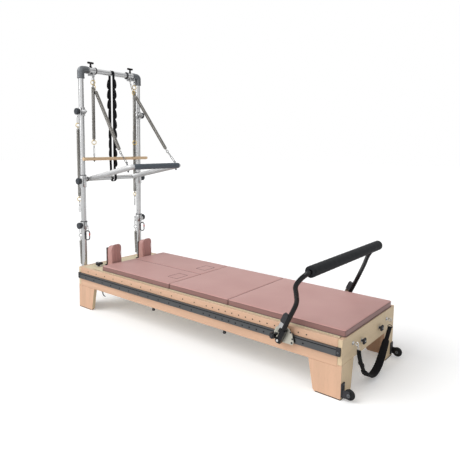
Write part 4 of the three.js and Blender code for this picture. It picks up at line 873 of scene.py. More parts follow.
class REFORMER_PG_colours(bpy.types.PropertyGroup):
    """The colours of the finishes, linear."""

    maple: colour("Maple", "Sides of rails and legs", (0.68, 0.43, 0.29))
    # Painted light: the lighter tone of top faces, where light from above falls.
    maple_top_painted_light: colour("Maple top", "Top edges of the frame", (0.74, 0.52, 0.36))
    # Painted shade: the khaki tone of end faces in shade, also the colour of the end boards.
    maple_end: colour("Maple ends", "End boards", (0.70, 0.55, 0.36))
    ply: colour("Plywood", "Head deck and mat boards", (0.76, 0.66, 0.46))
    vinyl: colour("Vinyl", "Mats and shoulder pads", (0.535, 0.287, 0.262))
    steel: colour("Steel", "Tubes, collars and small fittings", (0.62, 0.625, 0.63))
    track: colour("Track", "Anodised footbar track", (0.13, 0.135, 0.14))
    cast: colour("Elbows", "Cast elbows of the tower", (0.17, 0.18, 0.19))
    carrier: colour("Carriers", "Footbar carrier plates", (0.62, 0.6, 0.52))
    plastic: colour("Black plastic", "Knobs and brackets", (0.008, 0.008, 0.009))
    paint: colour("Black paint", "Footbar tube", (0.004, 0.004, 0.005))
    foam: colour("Footbar foam", "Foam sleeve of the footbar", (0.012, 0.013, 0.015))
    slate_foam: colour("Push bar foam", "Foam sleeve of the push bar", (0.028, 0.032, 0.037))
    spring: colour("Spring wire", "Coils of the springs", (0.29, 0.28, 0.26))
    birch: colour("Roll-down bar", "Turned wooden bar", (0.86, 0.62, 0.38))
    webbing: colour("Webbing", "Straps", (0.005, 0.005, 0.006))
    brass: colour("Brass", "Rings between hooks and springs", (0.66, 0.44, 0.06))
    accent: colour("Accent", "Sleeves of the carabiners", (0.5, 0.02, 0.015))


class REFORMER_PG_sizes(bpy.types.PropertyGroup):
    """Sizes of the fine detail."""

    board_edge: length("Board edge", "Rounding of wooden edges", 0.0025, 0.0005, 0.005)
    coil_pitch: length("Coil pitch", "Distance between two curls", 0.0041, 0.003, 0.01)
    coil_radius: length("Coil radius", "From the axis to the wire's middle", 0.0124, 0.005, 0.015)
    wire_radius: length("Wire radius", "Half the wire's thickness", 0.00175, 0.001, 0.003)
    stitch_pitch: length("Stitch pitch", "Distance between the foot strap's stitches", 0.006, 0.002, 0.02)
    pad_swell: length("Pad swell", "Most that cloth may lift off a pad's block", 0.006, 0, 0.02)


class REFORMER_OT_stage(bpy.types.Operator):
    """Adds the floor, the light and the camera at the photograph's angle"""

    bl_idname = "reformer.stage"
    bl_label = "Stage"

    def execute(self, context):
        scene = context.scene
        scene.view_settings.view_transform = "Standard"
        mesh = bpy.data.meshes.new("floor")
        reach = 30.0
        corners = [(-reach, -reach, 0), (reach, -reach, 0), (reach, reach, 0), (-reach, reach, 0)]
        mesh.from_pydata(corners, [], [(0, 1, 2, 3)])
        floor = bpy.data.objects.new("floor", mesh)
        scene.collection.objects.link(floor)
        look = Look("floor_paint", Roughness=0.95, Specular_IOR_Level=0.0)
        speckle = look.noise(look.place(), 40, 2.0)
        look.set({"Base Color": look.mix(speckle, (0.9, 0.9, 0.9), (0.92, 0.92, 0.92))})
        rays = look.node("ShaderNodeLightPath", output="Is Camera Ray")
        look.set({"Emission Color": look.mix(rays, (0, 0, 0), (0.22, 0.22, 0.22)), "Emission Strength": 1.0})
        mesh.materials.append(look.material)
        self.light(scene)
        self.camera(scene)
        return {"FINISHED"}

    def light(self, scene):
        world = bpy.data.worlds.new("studio")
        scene.world = world
        world.use_nodes = True
        graph = Graph(world.node_tree)
        shader = world.node_tree.nodes["Background"]
        shader.inputs["Color"].default_value = (1, 1, 1, 1)
        seen = [
            graph.node("ShaderNodeLightPath", output=f"Is {kind} Ray")
            for kind in ("Camera", "Glossy", "Transmission")
        ]
        shown = graph.node("ShaderNodeMath", {"operation": "MAXIMUM"}, {0: seen[0], 1: seen[1]})
        shown = graph.node("ShaderNodeMath", {"operation": "MAXIMUM"}, {0: shown, 1: seen[2]})
        ambient = 0.42
        way = graph.node("ShaderNodeTexCoord", output="Generated")
        dot = {"operation": "DOT_PRODUCT"}
        sideways = abs(graph.node("ShaderNodeVectorMath", dot, {0: way, 1: (0.78, 0.62, 0)}, "Value"))
        flag = graph.node("ShaderNodeMapRange", {}, {0: sideways, 1: 0.72, 2: 0.92, 3: 0, 4: 0.55})
        graph.plug(shader.inputs["Strength"], shown * (1 - ambient) + ambient - flag * seen[1])
        for name, place, softness, strength in (
            ("key", (-0.45, -0.62, 0.64), 50, 2.1),
            ("fill", (0.6, -0.5, 0.62), 70, 0.5),
            ("strip", (-0.25, -0.95, 0.04), 26, 0.35),
        ):
            lamp = bpy.data.lights.new(name, "SUN")
            lamp.energy, lamp.angle = strength, math.radians(softness)
            obj = bpy.data.objects.new(name, lamp)
            obj.rotation_euler = (-Vector(place)).to_track_quat("-Z", "Y").to_euler()
            scene.collection.objects.link(obj)

    def camera(self, scene):
        yaw, pitch, roll = (math.radians(a) for a in CAMERA_TURNS)
        ahead = Vector((-math.sin(yaw) * math.cos(pitch), math.cos(yaw) * math.cos(pitch), math.sin(pitch)))
        level = Vector((math.cos(yaw), math.sin(yaw), 0))
        upward = level.cross(ahead)
        right = level * math.cos(roll) + upward * math.sin(roll)
        up = upward * math.cos(roll) - level * math.sin(roll)
        lens = bpy.data.cameras.new("camera")
        lens.sensor_width, lens.lens = SENSOR, SENSOR * FOCAL_PIXELS / PHOTO_PIXELS
        lens.shift_y = -(PHOTO_PIXELS / 2 - MIDDLE_ROW) / PHOTO_PIXELS
        lens.clip_start, lens.clip_end = 0.05, 200
        camera = bpy.data.objects.new("camera", lens)
        turn = Matrix((right, up, -ahead)).transposed().to_4x4()
        camera.matrix_world = Matrix.Translation(placed(CAMERA_AT)) @ turn
        scene.collection.objects.link(camera)
        scene.camera = camera


class REFORMER_OT_woodwork(bpy.types.Operator):
    """Rounds the boards of the frame, lays the grain and adds soles and the painted shade of the recessed
    index dots
    """

    bl_idname = "reformer.woodwork"
    bl_label = "Woodwork"

    def execute(self, context):
        edge = sizes().board_edge / MM
        for side, _ in SIDES:
            softened("side_rail_" + side, "maple_rail", "frame", edge)
            for end in ("head", "foot"):
                softened(f"leg_{end}_{side}", "maple_upright", "frame", edge)
        softened("head_board", "maple_end", "frame", edge)
        softened("foot_board", "maple_end", "frame", edge)
        softened("head_deck", "deck_ply", "frame", 1.2)
        dressed("carriage", "deck_ply")
        dressed("carriage_springs", "spring_wire")
        self.soles()
        self.marks()
        return {"FINISHED"}

    def soles(self):
        form = Form()
        for _, out in SIDES:
            for end in (0, 1):
                self.sole(form, end, out, -0.5, 156, -0.5, 26)
                self.sole(form, end, out, -0.5, 26, 26, 116)
        make("leg_soles", form, "tyre_rubber", "frame", bevel=0.8)

    def sole(self, form, end, out, x0, x1, y0, y1):
        along = (lambda x: LENGTH - x) if end else (lambda x: x)
        form.add(block(along(x0), along(x1), flip(y0, out), flip(y1, out), 0.4, 6))

    def marks(self):
        form = Form()
        for _, out in SIDES:
            # Painted shade: dark studs on the rail side stand for the shade in the small recessed index dots.
            points = [(x + 15, flip(-0.2, out), 318) for x in HOLES]
            form.add_mesh(studs(points, [(0, out, 0)] * len(points), 4.4, 0.7, 14))
        make("index_dots_painted_shade", form, "deep_black", "frame")


class REFORMER_OT_mats(bpy.types.Operator):
    """Makes the four mats with seam cords along their edges, dark cords of painted shade in the gaps and
    under them, and round the plugs cut in the head mats
    """

    bl_idname = "reformer.mats"
    bl_label = "Mats"

    def execute(self, context):
        first, second, third, last = SEAMS
        self.mat("head_mat_near", first, second - 1, MAT_NEAR, MIDDLE - 1, "frame", (165, 284))
        self.mat("head_mat_far", first, second - 1, MIDDLE + 1, MAT_FAR, "frame", (480, 599))
        self.mat("middle_mat", second + 1, third - 1, MAT_NEAR, MAT_FAR, "middle_mat")
        self.mat("foot_mat", third + 1, last, MAT_NEAR, MAT_FAR, "foot_mat")
        self.board("middle_mat", 1033.5, 1570.5, 1570.5)
        self.board("foot_mat", 1573.5, 2368, 2320)
        return {"FINISHED"}

    def board(self, body, start, end, batten_end):
        """The board under an infill mat, with a batten along each side that keeps it between the rails."""
        form = Form().add(block(start, end, 32, 732, 324.7, 344.7))
        for y in (36, 708):
            form.add(block(start, batten_end, y, y + 20, 288.3, 324.6))
        make(body + "_board", form, "deck_ply", body, bevel=1.2)

    def mat(self, node, x0, x1, y0, y1, body, plug=None):
        low = MAT_BOTTOM
        steps = [
            (30, low, 0), (3, low, 0), (0.8, low + 2.5, 0.4), (0, low + 9, 1.4), (0, low + 19, 2.0),
            (0, low + 28, 1.4)
        ]
        edge = 6.0
        for k in range(6):
            a = math.pi / 2 * k / 5
            steps.append((edge * (1 - math.cos(a)), MAT_TOP - edge + edge * math.sin(a), 0.9 * (1 - k / 5)))
        steps += [
            (11, MAT_TOP + 0.6, 0), (20, MAT_TOP + 1.1, 0), (38, MAT_TOP + 1.6, 0), (70, MAT_TOP + 2, 0)
        ]
        steps += [(110, MAT_TOP + 2.3, 0), (150, MAT_TOP + 2.4, 0)]
        outline = rounded(x0, x1, y0, y1, 9, 6, 14)
        cx, cy = (x0 + x1) / 2, (y0 + y1) / 2
        hx, hy = (x1 - x0) / 2, (y1 - y0) / 2
        loops = []
        for inset, z, drawn in steps:
            loop = []
            for x, y in outline:
                u, v = (x - cx) / hx, (y - cy) / hy
                wrinkle = noise.noise(Vector((x / 33, y / 33, z / 60))) * 0.5 * min(1, inset / 6)
                sx = hx - inset - drawn * (1 - v**6)
                sy = hy - inset - drawn * (1 - u**6)
                loop.append(Vector((cx + u * sx, cy + v * sy, z + wrinkle)))
            loops.append(loop)
        form = Form()
        form.add(skin(loops))
        count = len(outline)
        # Painted shade: the lower side rings take the darker vinyl, as sides in shade.
        side_rings = 6
        for i in range(count * side_rings):
            form.finishes[i] = 1
        # Seam cords along the top edge and down the corners.
        seam = rounded(x0 - 0.2, x1 + 0.2, y0 - 0.2, y1 + 0.2, 9, 6, 14)
        form.add(sweep([Vector((x, y, MAT_TOP - edge * 0.8 - 0.6)) for x, y in seam], 0.9, 6, True), 2)
        for corner in ((x0, y0), (x1, y0), (x0, y1), (x1, y1)):
            x, y = (c + (2.9 if c < middle else -2.9) for c, middle in zip(corner, (cx, cy)))
            form.add(sweep([(x, y, low + 4), (x, y, MAT_TOP - edge)], 0.7, 6), 2)
        # Painted shade: a dark cord traces the shadow in the cut round each plug.
        if plug:
            cut = rounded(893, 985, *plug, 3, 4, 12)
            rise = lambda x: 1.6 + 0.8 * min(1, (x1 - x) / 150)
            form.add(sweep([Vector((x, y, MAT_TOP + rise(x) - 1.4)) for x, y in cut], 2.7, 8, True), 2)
        # Painted shade: dark cords in the gaps between mats, where shadow falls.
        deep = MAT_TOP - 4.4
        if node != "foot_mat":
            form.add(sweep([(x1 + 0.6, y0 + 4, deep), (x1 + 0.6, y1 - 4, deep)], 2.5, 8), 2)
        if node == "head_mat_near":
            form.add(sweep([(x0 + 4, y1 + 0.8, deep + 0.8), (x1 - 4, y1 + 0.8, deep + 0.8)], 3.2, 8), 2)
        # Painted shade: a dark cord round the foot of the cover, the shadow line under the cushion.
        base = rounded(x0 + 0.6, x1 - 0.6, y0 + 0.6, y1 - 0.6, 9, 6, 14)
        form.add(sweep([Vector((x, y, low + 2.1)) for x, y in base], 2.3, 6, True), 2)
        piece = make(
            node + "_cover", form, ["rose_vinyl", "rose_vinyl_side", "rose_seam"], None, smooth=50
        )
        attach(piece, body)
        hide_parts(node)


def closed_skin(outline, insets, depth_at):
    """Loops of a rounded block: each is the outline drawn in by an inset and laid at its depth."""
    (left, right), (low, high) = ((min(c), max(c)) for c in zip(*outline))
    cy, hy = (left + right) / 2, (right - left) / 2
    cz, hz = (low + high) / 2, (high - low) / 2
    loops = []
    for inset, x in zip(insets, depth_at):
        across, upward = 1 - inset / hy, 1 - inset / hz
        loops.append([Vector((x, cy + (y - cy) * across, cz + (z - cz) * upward)) for y, z in outline])
    return skin(loops)


def stuffed(form, voxel, swell, held):
    """A closed form remeshed and blown up as a filled cover; held says which points stay where they are."""
    mesh = bpy.data.meshes.new("filling")
    mesh.from_pydata(form.points, [], form.faces)
    obj = bpy.data.objects.new("filling", mesh)
    scene = bpy.context.scene
    scene.collection.objects.link(obj)
    remesh = obj.modifiers.new("remesh", "REMESH")
    remesh.mode, remesh.voxel_size = "VOXEL", voxel * MM
    obj.data = evaluated(obj)
    obj.modifiers.clear()
    start = np.array([v.co for v in obj.data.vertices], float)
    end = start
    group = obj.vertex_groups.new(name="held")
    group.add([v.index for v in obj.data.vertices if held(v.co)], 1.0, "REPLACE")
    cloth = obj.modifiers.new("cloth", "CLOTH")
    cloth.settings.quality = 6
    cloth.settings.mass = 0.25
    cloth.settings.tension_stiffness = cloth.settings.compression_stiffness = 22
    cloth.settings.bending_stiffness = 2.0
    cloth.settings.use_pressure = True
    cloth.settings.uniform_pressure_force = 4
    cloth.settings.effector_weights.gravity = 0
    cloth.settings.vertex_group_mass = "held"
    cloth.point_cache.frame_start, cloth.point_cache.frame_end = 1, 20
    for step in range(1, 21):
        scene.frame_set(step)
    end = np.array([v.co for v in evaluated(obj).vertices], float)
    scene.frame_set(1)
    moved = end - start
    far = np.linalg.norm(moved, axis=1, keepdims=True)
    moved *= np.minimum(1, swell / np.maximum(far, 1e-9))
    made = obj.data.copy()
    made.vertices.foreach_set("co", (start + moved).astype(np.float32).ravel())
    bpy.data.objects.remove(obj)
    return made


def bolt(form, place, direction, radius, height, metal, dark, sides=6):
    """A hexagon or round head on a washer, with a dark socket in its face."""
    place, way = Vector(place), Vector(direction).normalized()
    form.add(disc(place, way, height * 0.3, radius * 1.45, 0.3, 20), metal)
    top = place + way * height * 0.3
    form.add(disc(top, way, height * 0.7, radius, radius * 0.12, sides), metal)
    form.add(disc(top + way * height * 0.65, way, height * 0.1, radius * 0.45, 0.1, 6), dark)


def snap_hook(form, top, bottom, metal, facing, size=1.0):
    """A swivel snap hook: its eye, barrel and long sprung hook."""
    top, bottom = Vector(top), Vector(bottom)
    way = (bottom - top).normalized()
    length = (bottom - top).length
    neck = top + way * length * 0.28
    form.add(link(top, neck, 11 * size, 1.7 * size, facing), metal)
    form.add(turned(neck - way * 1.5, way, [(0, 3), (1, 4.4), (7, 4.4), (9, 3)], 14), metal)
    form.add(link(neck + way * 6, bottom, 15 * size, 2.1 * size, facing), metal)
    gate = way.cross(Vector(facing)).normalized() * 7.5 * size
    form.add(sweep([neck + way * 14 + gate, bottom - way * 9 + gate], 2.6 * size, 10), metal)


def spring_end(form, place, way, reach, radius):
    """The closed end of a coil: curls that narrow to an eye."""
    place, way = Vector(place), Vector(way).normalized()
    narrowing = [(0, radius), (2, radius), (4, radius * 0.93), (8, radius * 0.6), (10, 3.4)]
    form.add(turned(place - way * 2, way, narrowing, 20))
    form.add(link(place + way * 5, place + way * reach, 13, 1.9, (0, 1, 0)))


class REFORMER_OT_shoulder_rests(bpy.types.Operator):
    """Makes the two stitched shoulder pads and their brackets"""

    bl_idname = "reformer.shoulder_rests"
    bl_label = "Shoulder rests"

    def execute(self, context):
        for side, out in SIDES:
            self.pad(side, out)
            softened("shoulder_bracket_" + side, "deep_black", "shoulder_rest_" + side, 1.5)
            form = Form()
            y = spread(out, PAD_SPREAD)
            for across in (-26, 26):
                bolt(form, (139, y + across, 351), (0, 0, 1), 5, 5, 0, 1)
            for z in (396, 470):
                bolt(form, (150.7, y, z), (-1, 0, 0), 5, 4, 0, 1)
            make(
                f"shoulder_bolts_{side}", form, ["polished_steel", "deep_black"], "shoulder_rest_" + side,
            )
        return {"FINISHED"}

    def pad(self, side, out):
        y = spread(out, PAD_SPREAD)
        back, front = PAD_X
        low, top = PAD_Z
        half = PAD_WIDTH / 2
        fall = lambda x: 1 - PAD_FALL * (front - x) / (front - back)
        form = Form()
        insets = (3, 0.8, 0, 0, 0.8, 3)
        places = (back, back + 1.5, back + 6, front - 6, front - 2, front - 0.5)
        form.add(closed_skin(self.outline(y, half, low + 1, top), insets, places))
        held_x = placed((back + 2, 0, 0)).x
        held_z = (low + 3) * MM
        mesh = stuffed(form, 3.6, sizes().pad_swell, lambda p: p.x < held_x or p.z < held_z)
        mid = NEAR + y * MM
        middle_x = placed((back + 36, 0, 0)).x
        for v in mesh.vertices:
            across = (v.co.y - mid) / MM
            v.co.y += across * 0.035 * (1 - (v.co.z / MM - low) / (top - low)) * MM
            if v.co.x > middle_x:
                fade = min(1, max(0, (v.co.x - middle_x) / 0.016)) * min(
                    1, max(0, (top - 8 - v.co.z / MM) / 24)
                )
                groove = math.exp(-(((abs(across) - 14) / 4) ** 2))
                v.co.x -= fade * (groove * 9 + 1.2 * noise.noise(v.co * 34)) * MM
            v.co.x = min(v.co.x, placed((front + 2.5, 0, 0)).x)
            v.co.z = min(v.co.z, (top + 1.5) * MM)
            v.co.z = (low + (v.co.z / MM - low) * fall((v.co.x - HEAD) / MM)) * MM
        tool = bmesh.new()
        tool.from_mesh(mesh)
        for _ in range(2):
            bmesh.ops.smooth_vert(
                tool, verts=tool.verts, factor=0.5, use_axis_x=True, use_axis_y=True, use_axis_z=True
            )
        tool.to_mesh(mesh)
        tool.free()
        pad = finished(f"shoulder_pad_{side}_cover", mesh, ["rose_vinyl_deep"], None, smooth=80)
        finer = pad.modifiers.new("finer", "SUBSURF")
        finer.levels = finer.render_levels = 1
        pad.data = evaluated(pad)
        pad.modifiers.clear()
        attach(pad, "shoulder_rest_" + side)
        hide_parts("shoulder_pad_" + side)
        piping_and_shade_cords = Form()
        for x in (back + 5, front - 4):
            line = [
                Vector((x, a, b))
                for a, b in self.outline(y, half + 0.2, low + 2, low + (top - low) * fall(x) - 0.2, flare=1.6)
            ]
            piping_and_shade_cords.add(sweep(line, 2.1, 8, True))
        thread = Form()
        for x in (back + 10.5, front - 10.5):
            line = [
                (x, a, b)
                for a, b in self.outline(y, half + 0.6, low + 4, low + (top - low) * fall(x) + 0.4, flare=1.6)
            ]
            thread.add_mesh(stitches(line, 5, 0.45, 3.2))
        # Painted shade: dark cords down the two channels of the front face stand for their shade.
        for across in (-14, 14):
            piping_and_shade_cords.add(
                sweep([(front - 4.5, y + across, low + 6), (front - 4.5, y + across, top - 26)], 2.4, 8), 1
            )
        make(
            f"shoulder_pad_{side}_piping_and_channel_shade", piping_and_shade_cords, ["rose_vinyl_deep", "rose_vinyl_side"],
            "shoulder_rest_" + side
        )
        make(f"shoulder_pad_{side}_stitches", thread, "rose_thread", "shoulder_rest_" + side)

    def outline(self, y, half, low, top, flare=0.0):
        """Round at the top corners and nearly square at the foot, counter-clockwise in Y and Z."""
        points = [(y - half - flare, low), (y + half + flare, low)]
        for quarter, way in ((0, 1), (1, -1)):
            for k in range(9):
                a = (quarter + k / 8) * math.pi / 2
                across = way * (half - PAD_CORNER) + PAD_CORNER * math.cos(a)
                points.append((y + across, top - PAD_CORNER + PAD_CORNER * math.sin(a)))
        return points


class REFORMER_OT_knobs(bpy.types.Operator):
    """Makes the lobed clamp knobs on the head deck and the foot board"""

    bl_idname = "reformer.knobs"
    bl_label = "Knobs"

    def execute(self, context):
        self.knob("head_knob", (115, 115, FRAME_TOP), (0, 0, 1), 12, 22, 35, 3, 0.6)
        for side, out in SIDES:
            self.knob(
                "star_knob_" + side, (LENGTH, spread(out, 132), 266), (1, 0, 0), 12, 15, 22, 4, math.pi / 4
            )
        return {"FINISHED"}

    def knob(self, node, face, way, neck, thick, radius, lobes, phase):
        form = Form()
        face, way = Vector(face), Vector(way)
        form.add(disc(face + way * 0.4, way, 2.2, radius * 0.5, 0.5), 1)
        form.add(disc(face + way * 2, way, neck - 2, radius * 0.33, 0.6), 0)
        body = [
            (neck - 0.5, 0.5), (neck + 1.5, 0.82), (neck + 4, 0.96), (neck + thick * 0.5, 1),
            (neck + thick - 4, 0.95)
        ]
        body += [(neck + thick - 1.6, 0.82), (neck + thick - 0.3, 0.5), (neck + thick - 0.8, 0.28)]
        form.add(
            turned(face, way, [(a, r * radius) for a, r in body], lobes * 12, False, lobes, 0.34, phase), 0
        )
        form.add(disc(face + way * (neck + thick - 1.4), way, 1.4, radius * 0.2, 0.4), 1)
        make(
            node + "_dressed", form, ["black_plastic", "polished_steel"], node, (node,),
            smooth=45
        )


class REFORMER_OT_tracks(bpy.types.Operator):
    """Finishes the footbar tracks and hangs the fittings under the rails"""

    bl_idname = "reformer.tracks"
    bl_label = "Tracks"

    def execute(self, context):
        strips, bushes, hole_shades, caps = Form(), Form(), Form(), Form()
        for side, out in SIDES:
            dressed("footbar_track_" + side, "track_aluminium")
            face = flip(TRACK_FACE, out)
            strips.add(
                block(18, 2366, flip(TRACK_FACE + 0.6, out), flip(TRACK_FACE + 3.4, out), 284.3, 289.7)
            )
            points = [(x, face, HOLE_Z) for x in HOLES]
            aims = [(0, out, 0)] * len(points)
            bushes.add_mesh(studs(points, aims, 6.4, 0.5, 18))
            # Painted shade: dark discs over the track's index openings stand for the shade inside them.
            hole_shades.add_mesh(studs([(x, face + out * 0.15, z) for x, _, z in points], aims, 5.6, 0.5, 18))
            for x0, x1 in ((8, 30), (2368, 2392)):
                caps.add(block(x0, x1, flip(-0.2, out), flip(TRACK_FACE - 1.4, out), 252, 298.6))
            for x in (19, 2380):
                bolt(caps, (x, flip(TRACK_FACE - 1.3, out), 271), (0, out, 0), 4, 2.2, 1, 0, 16)
        make("track_inset_strips", strips, "deep_black", "frame", bevel=0.3)
        make("track_hole_rims", bushes, "track_aluminium", "frame")
        make("track_hole_painted_shade", hole_shades, "deep_black", "frame")
        make("track_end_blocks", caps, ["black_plastic", "cast_grey"], "frame", bevel=0.7)
        self.under_rail()
        return {"FINISHED"}

    def under_rail(self):
        form = Form()
        for _, out in SIDES:
            y = flip(13.5, out)
            for x in (898, 1570):
                form.add(disc((x, y, 186.8), (0, 0, -1), 5, 11, 0.8), 1)
                form.add(disc((x, y, 182), (0, 0, -1), 5, 5, 0.5), 0)
                shape = [(9, 6), (10.5, 10), (14, 12), (20, 12), (24, 9.5), (25.5, 6)]
                form.add(turned((x, y, 186.8), (0, 0, -1), shape, 36, False, 6, 0.12), 0)
            hook = curve([(300, y, 187), (300, y, 172), (306, y, 158), (318, y, 152), (330, y, 150)], 16)
            form.add(disc((300, y, 186.8), (0, 0, -1), 4, 10, 0.8), 0)
            form.add(sweep(hook, 4, 10), 0)
        make("under_rail_fittings", form, ["black_plastic", "cast_grey"], "frame", smooth=40)


def foam_profile(edge, length, radius, ripple, pace, count):
    """A foam sleeve's profile: an edge, a faint ripple along its length, and the edge mirrored."""
    first = edge[-1][0]
    run = [
        (first + (length - 2 * first) * k / count, radius - ripple + ripple * math.sin(k * pace))
        for k in range(1, count)
    ]
    return edge + run + [(length - along, r) for along, r in reversed(edge)]


class REFORMER_OT_footbar(bpy.types.Operator):
    """Makes the bent footbar with its sleeve, sockets, latches, carriers and plungers"""

    bl_idname = "reformer.footbar"
    bl_label = "Footbar"

    def execute(self, context):
        self.bar()
        self.grip()
        for side, out in SIDES:
            self.carrier(side, out)
            self.plunger(side, out)
        return {"FINISHED"}

    def arm(self, out):
        steps = [
            (0, 0, 0), (59.5, 130, 0), (109.5, 241.8, 0), (125, 301, 30), (137.4, 359.9, 60),
            (165.4, 402.3, 60)
        ]
        points = [Vector((PIVOT[0] + x, flip(ARM_Y - o, out), PIVOT[1] + z)) for x, z, o in steps]
        corner = Vector((GRIP_AT[0], flip(ARM_Y - 60, out), GRIP_AT[1]))
        back = (points[-1] - corner).normalized()
        inward = Vector((0, -out, 0))
        points += [corner + back * 16, corner + back * 5 + inward * 5, corner + inward * 17]
        return points

    def bar(self):
        form = Form()
        near, far = self.arm(-1), self.arm(1)
        whole = curve(near, 60) + curve(far, 60)[::-1]
        form.add(sweep(whole, 14, 22))
        slope = math.atan2(119, 260)
        tilt = Matrix.Rotation(slope, 3, "Y")
        for _, out in SIDES:
            pivot = Vector((PIVOT[0], flip(ARM_Y, out), PIVOT[1]))
            outward = Vector((0, out, 0))

            def leaning_block(x0, x1, depth, low, high, finish):
                """A block laid along the leaning arm: its place across, its depth and its run up the arm."""
                points, faces = block(x0, x1, -depth / 2, depth / 2, low, high)
                if out > 0:
                    points = [Vector((p.x, -p.y, p.z)) for p in points]
                    faces = [f[::-1] for f in faces]
                form.add(([pivot + tilt @ p for p in points], faces), finish)

            form.add(disc(pivot - outward * 14, outward, 29, 19, 1.5, 28), 0)
            leaning_block(-11, 20, 29, -14, 74, 0)
            leaning_block(-22, -10, 29, 50, 74, 0)
            leaning_block(-34, -10, 24, 80, 112, 1)
            leaning_block(-38, -7, 27, 114, 168, 2)
            leaning_block(-30, -14, 15, 66, 84, 1)
            cap = pivot + outward * 14.5
            form.add(disc(cap, outward, 2.2, 12.5, 0.4), 0)
            form.add(disc(cap + outward * 2, outward, 4, 9.4, 0.6, 6), 1)
            form.add(turned(cap + outward * 5, outward, [(0, 8), (1.6, 7.8), (3, 6), (3.9, 2.5)], 20), 1)
        looks = ["black_gloss", "polished_steel", "black_plastic"]
        make("footbar_tube", form, looks, "footbar_frame", ("footbar",), bevel=1.4, smooth=40)

    def grip(self):
        form = Form()
        start, length, radius = -88.0, WIDTH + 176.0, 33
        edge = [(0, 14.6), (0, radius - 5), (1.2, radius - 1.8), (4, radius - 0.4)]
        profile = foam_profile(edge, length, radius, 0.35, 1.7, 60)
        form.add(turned((GRIP_AT[0], start, GRIP_AT[1]), (0, 1, 0), profile, 40, True))
        piece = make("footbar_grip_sleeve", form, "black_foam", "footbar_frame", ("footbar_grip",))

    def carrier(self, side, out):
        softened("footbar_carrier_" + side, "carrier_beige", "footbar_carriage", 1.2)
        form = Form()
        face = flip(-26.8, out)
        for x, z in ((2091, 316), (2103, 279), (2099, 256), (1990, 262)):
            form.add(disc((x, face, z), (0, out, 0), 3.4, 5.4, 0.9, 18), 0)
            form.add(disc((x, face + out * 3, z), (0, out, 0), 0.7, 2.6, 0.1, 6), 1)
        for x in (1996, 2096):
            form.add(block(x - 7, x + 7, flip(-12, out), flip(-21, out), 299, 308), 0)
        make(
            f"carrier_bolts_{side}", form, ["black_plastic", "deep_black"], "footbar_carriage",
            smooth=40
        )

    def plunger(self, side, out):
        form = Form()
        way = (0, out, 0)
        seat = flip(-27.1, out)
        at_y = lambda run: (1997, seat + out * run, 288)
        form.add(disc(at_y(0), way, 7, 10.4, 1, 6), 1)
        form.add(
            turned(at_y(6), way, [(0, 9), (3, 10), (8, 10.5), (24, 10.7), (29, 10.5)], 48, False, 24, 0.04), 0
        )
        rim = [(28, 12), (30, 17.5), (34, 19.6), (44, 19.8), (52, 19.2), (57, 17), (60.5, 12.5), (61.6, 7)]
        form.add(turned(at_y(0), way, rim, 64, False, 8, 0.16), 2)
        form.add(turned(at_y(60), way, [(0, 9.8), (1.6, 9.2), (2.6, 6.4), (3.0, 3.0)], 24), 0)
        form.add(sweep([Vector(at_y(-20.3)), Vector(at_y(1))], 3.9, 12), 1)
        looks = ["black_plastic", "polished_steel", "black_gloss"]
        make(
            f"plunger_{side}_dressed", form, looks, "plunger_" + side, ("plunger_" + side,),
            smooth=45
        )


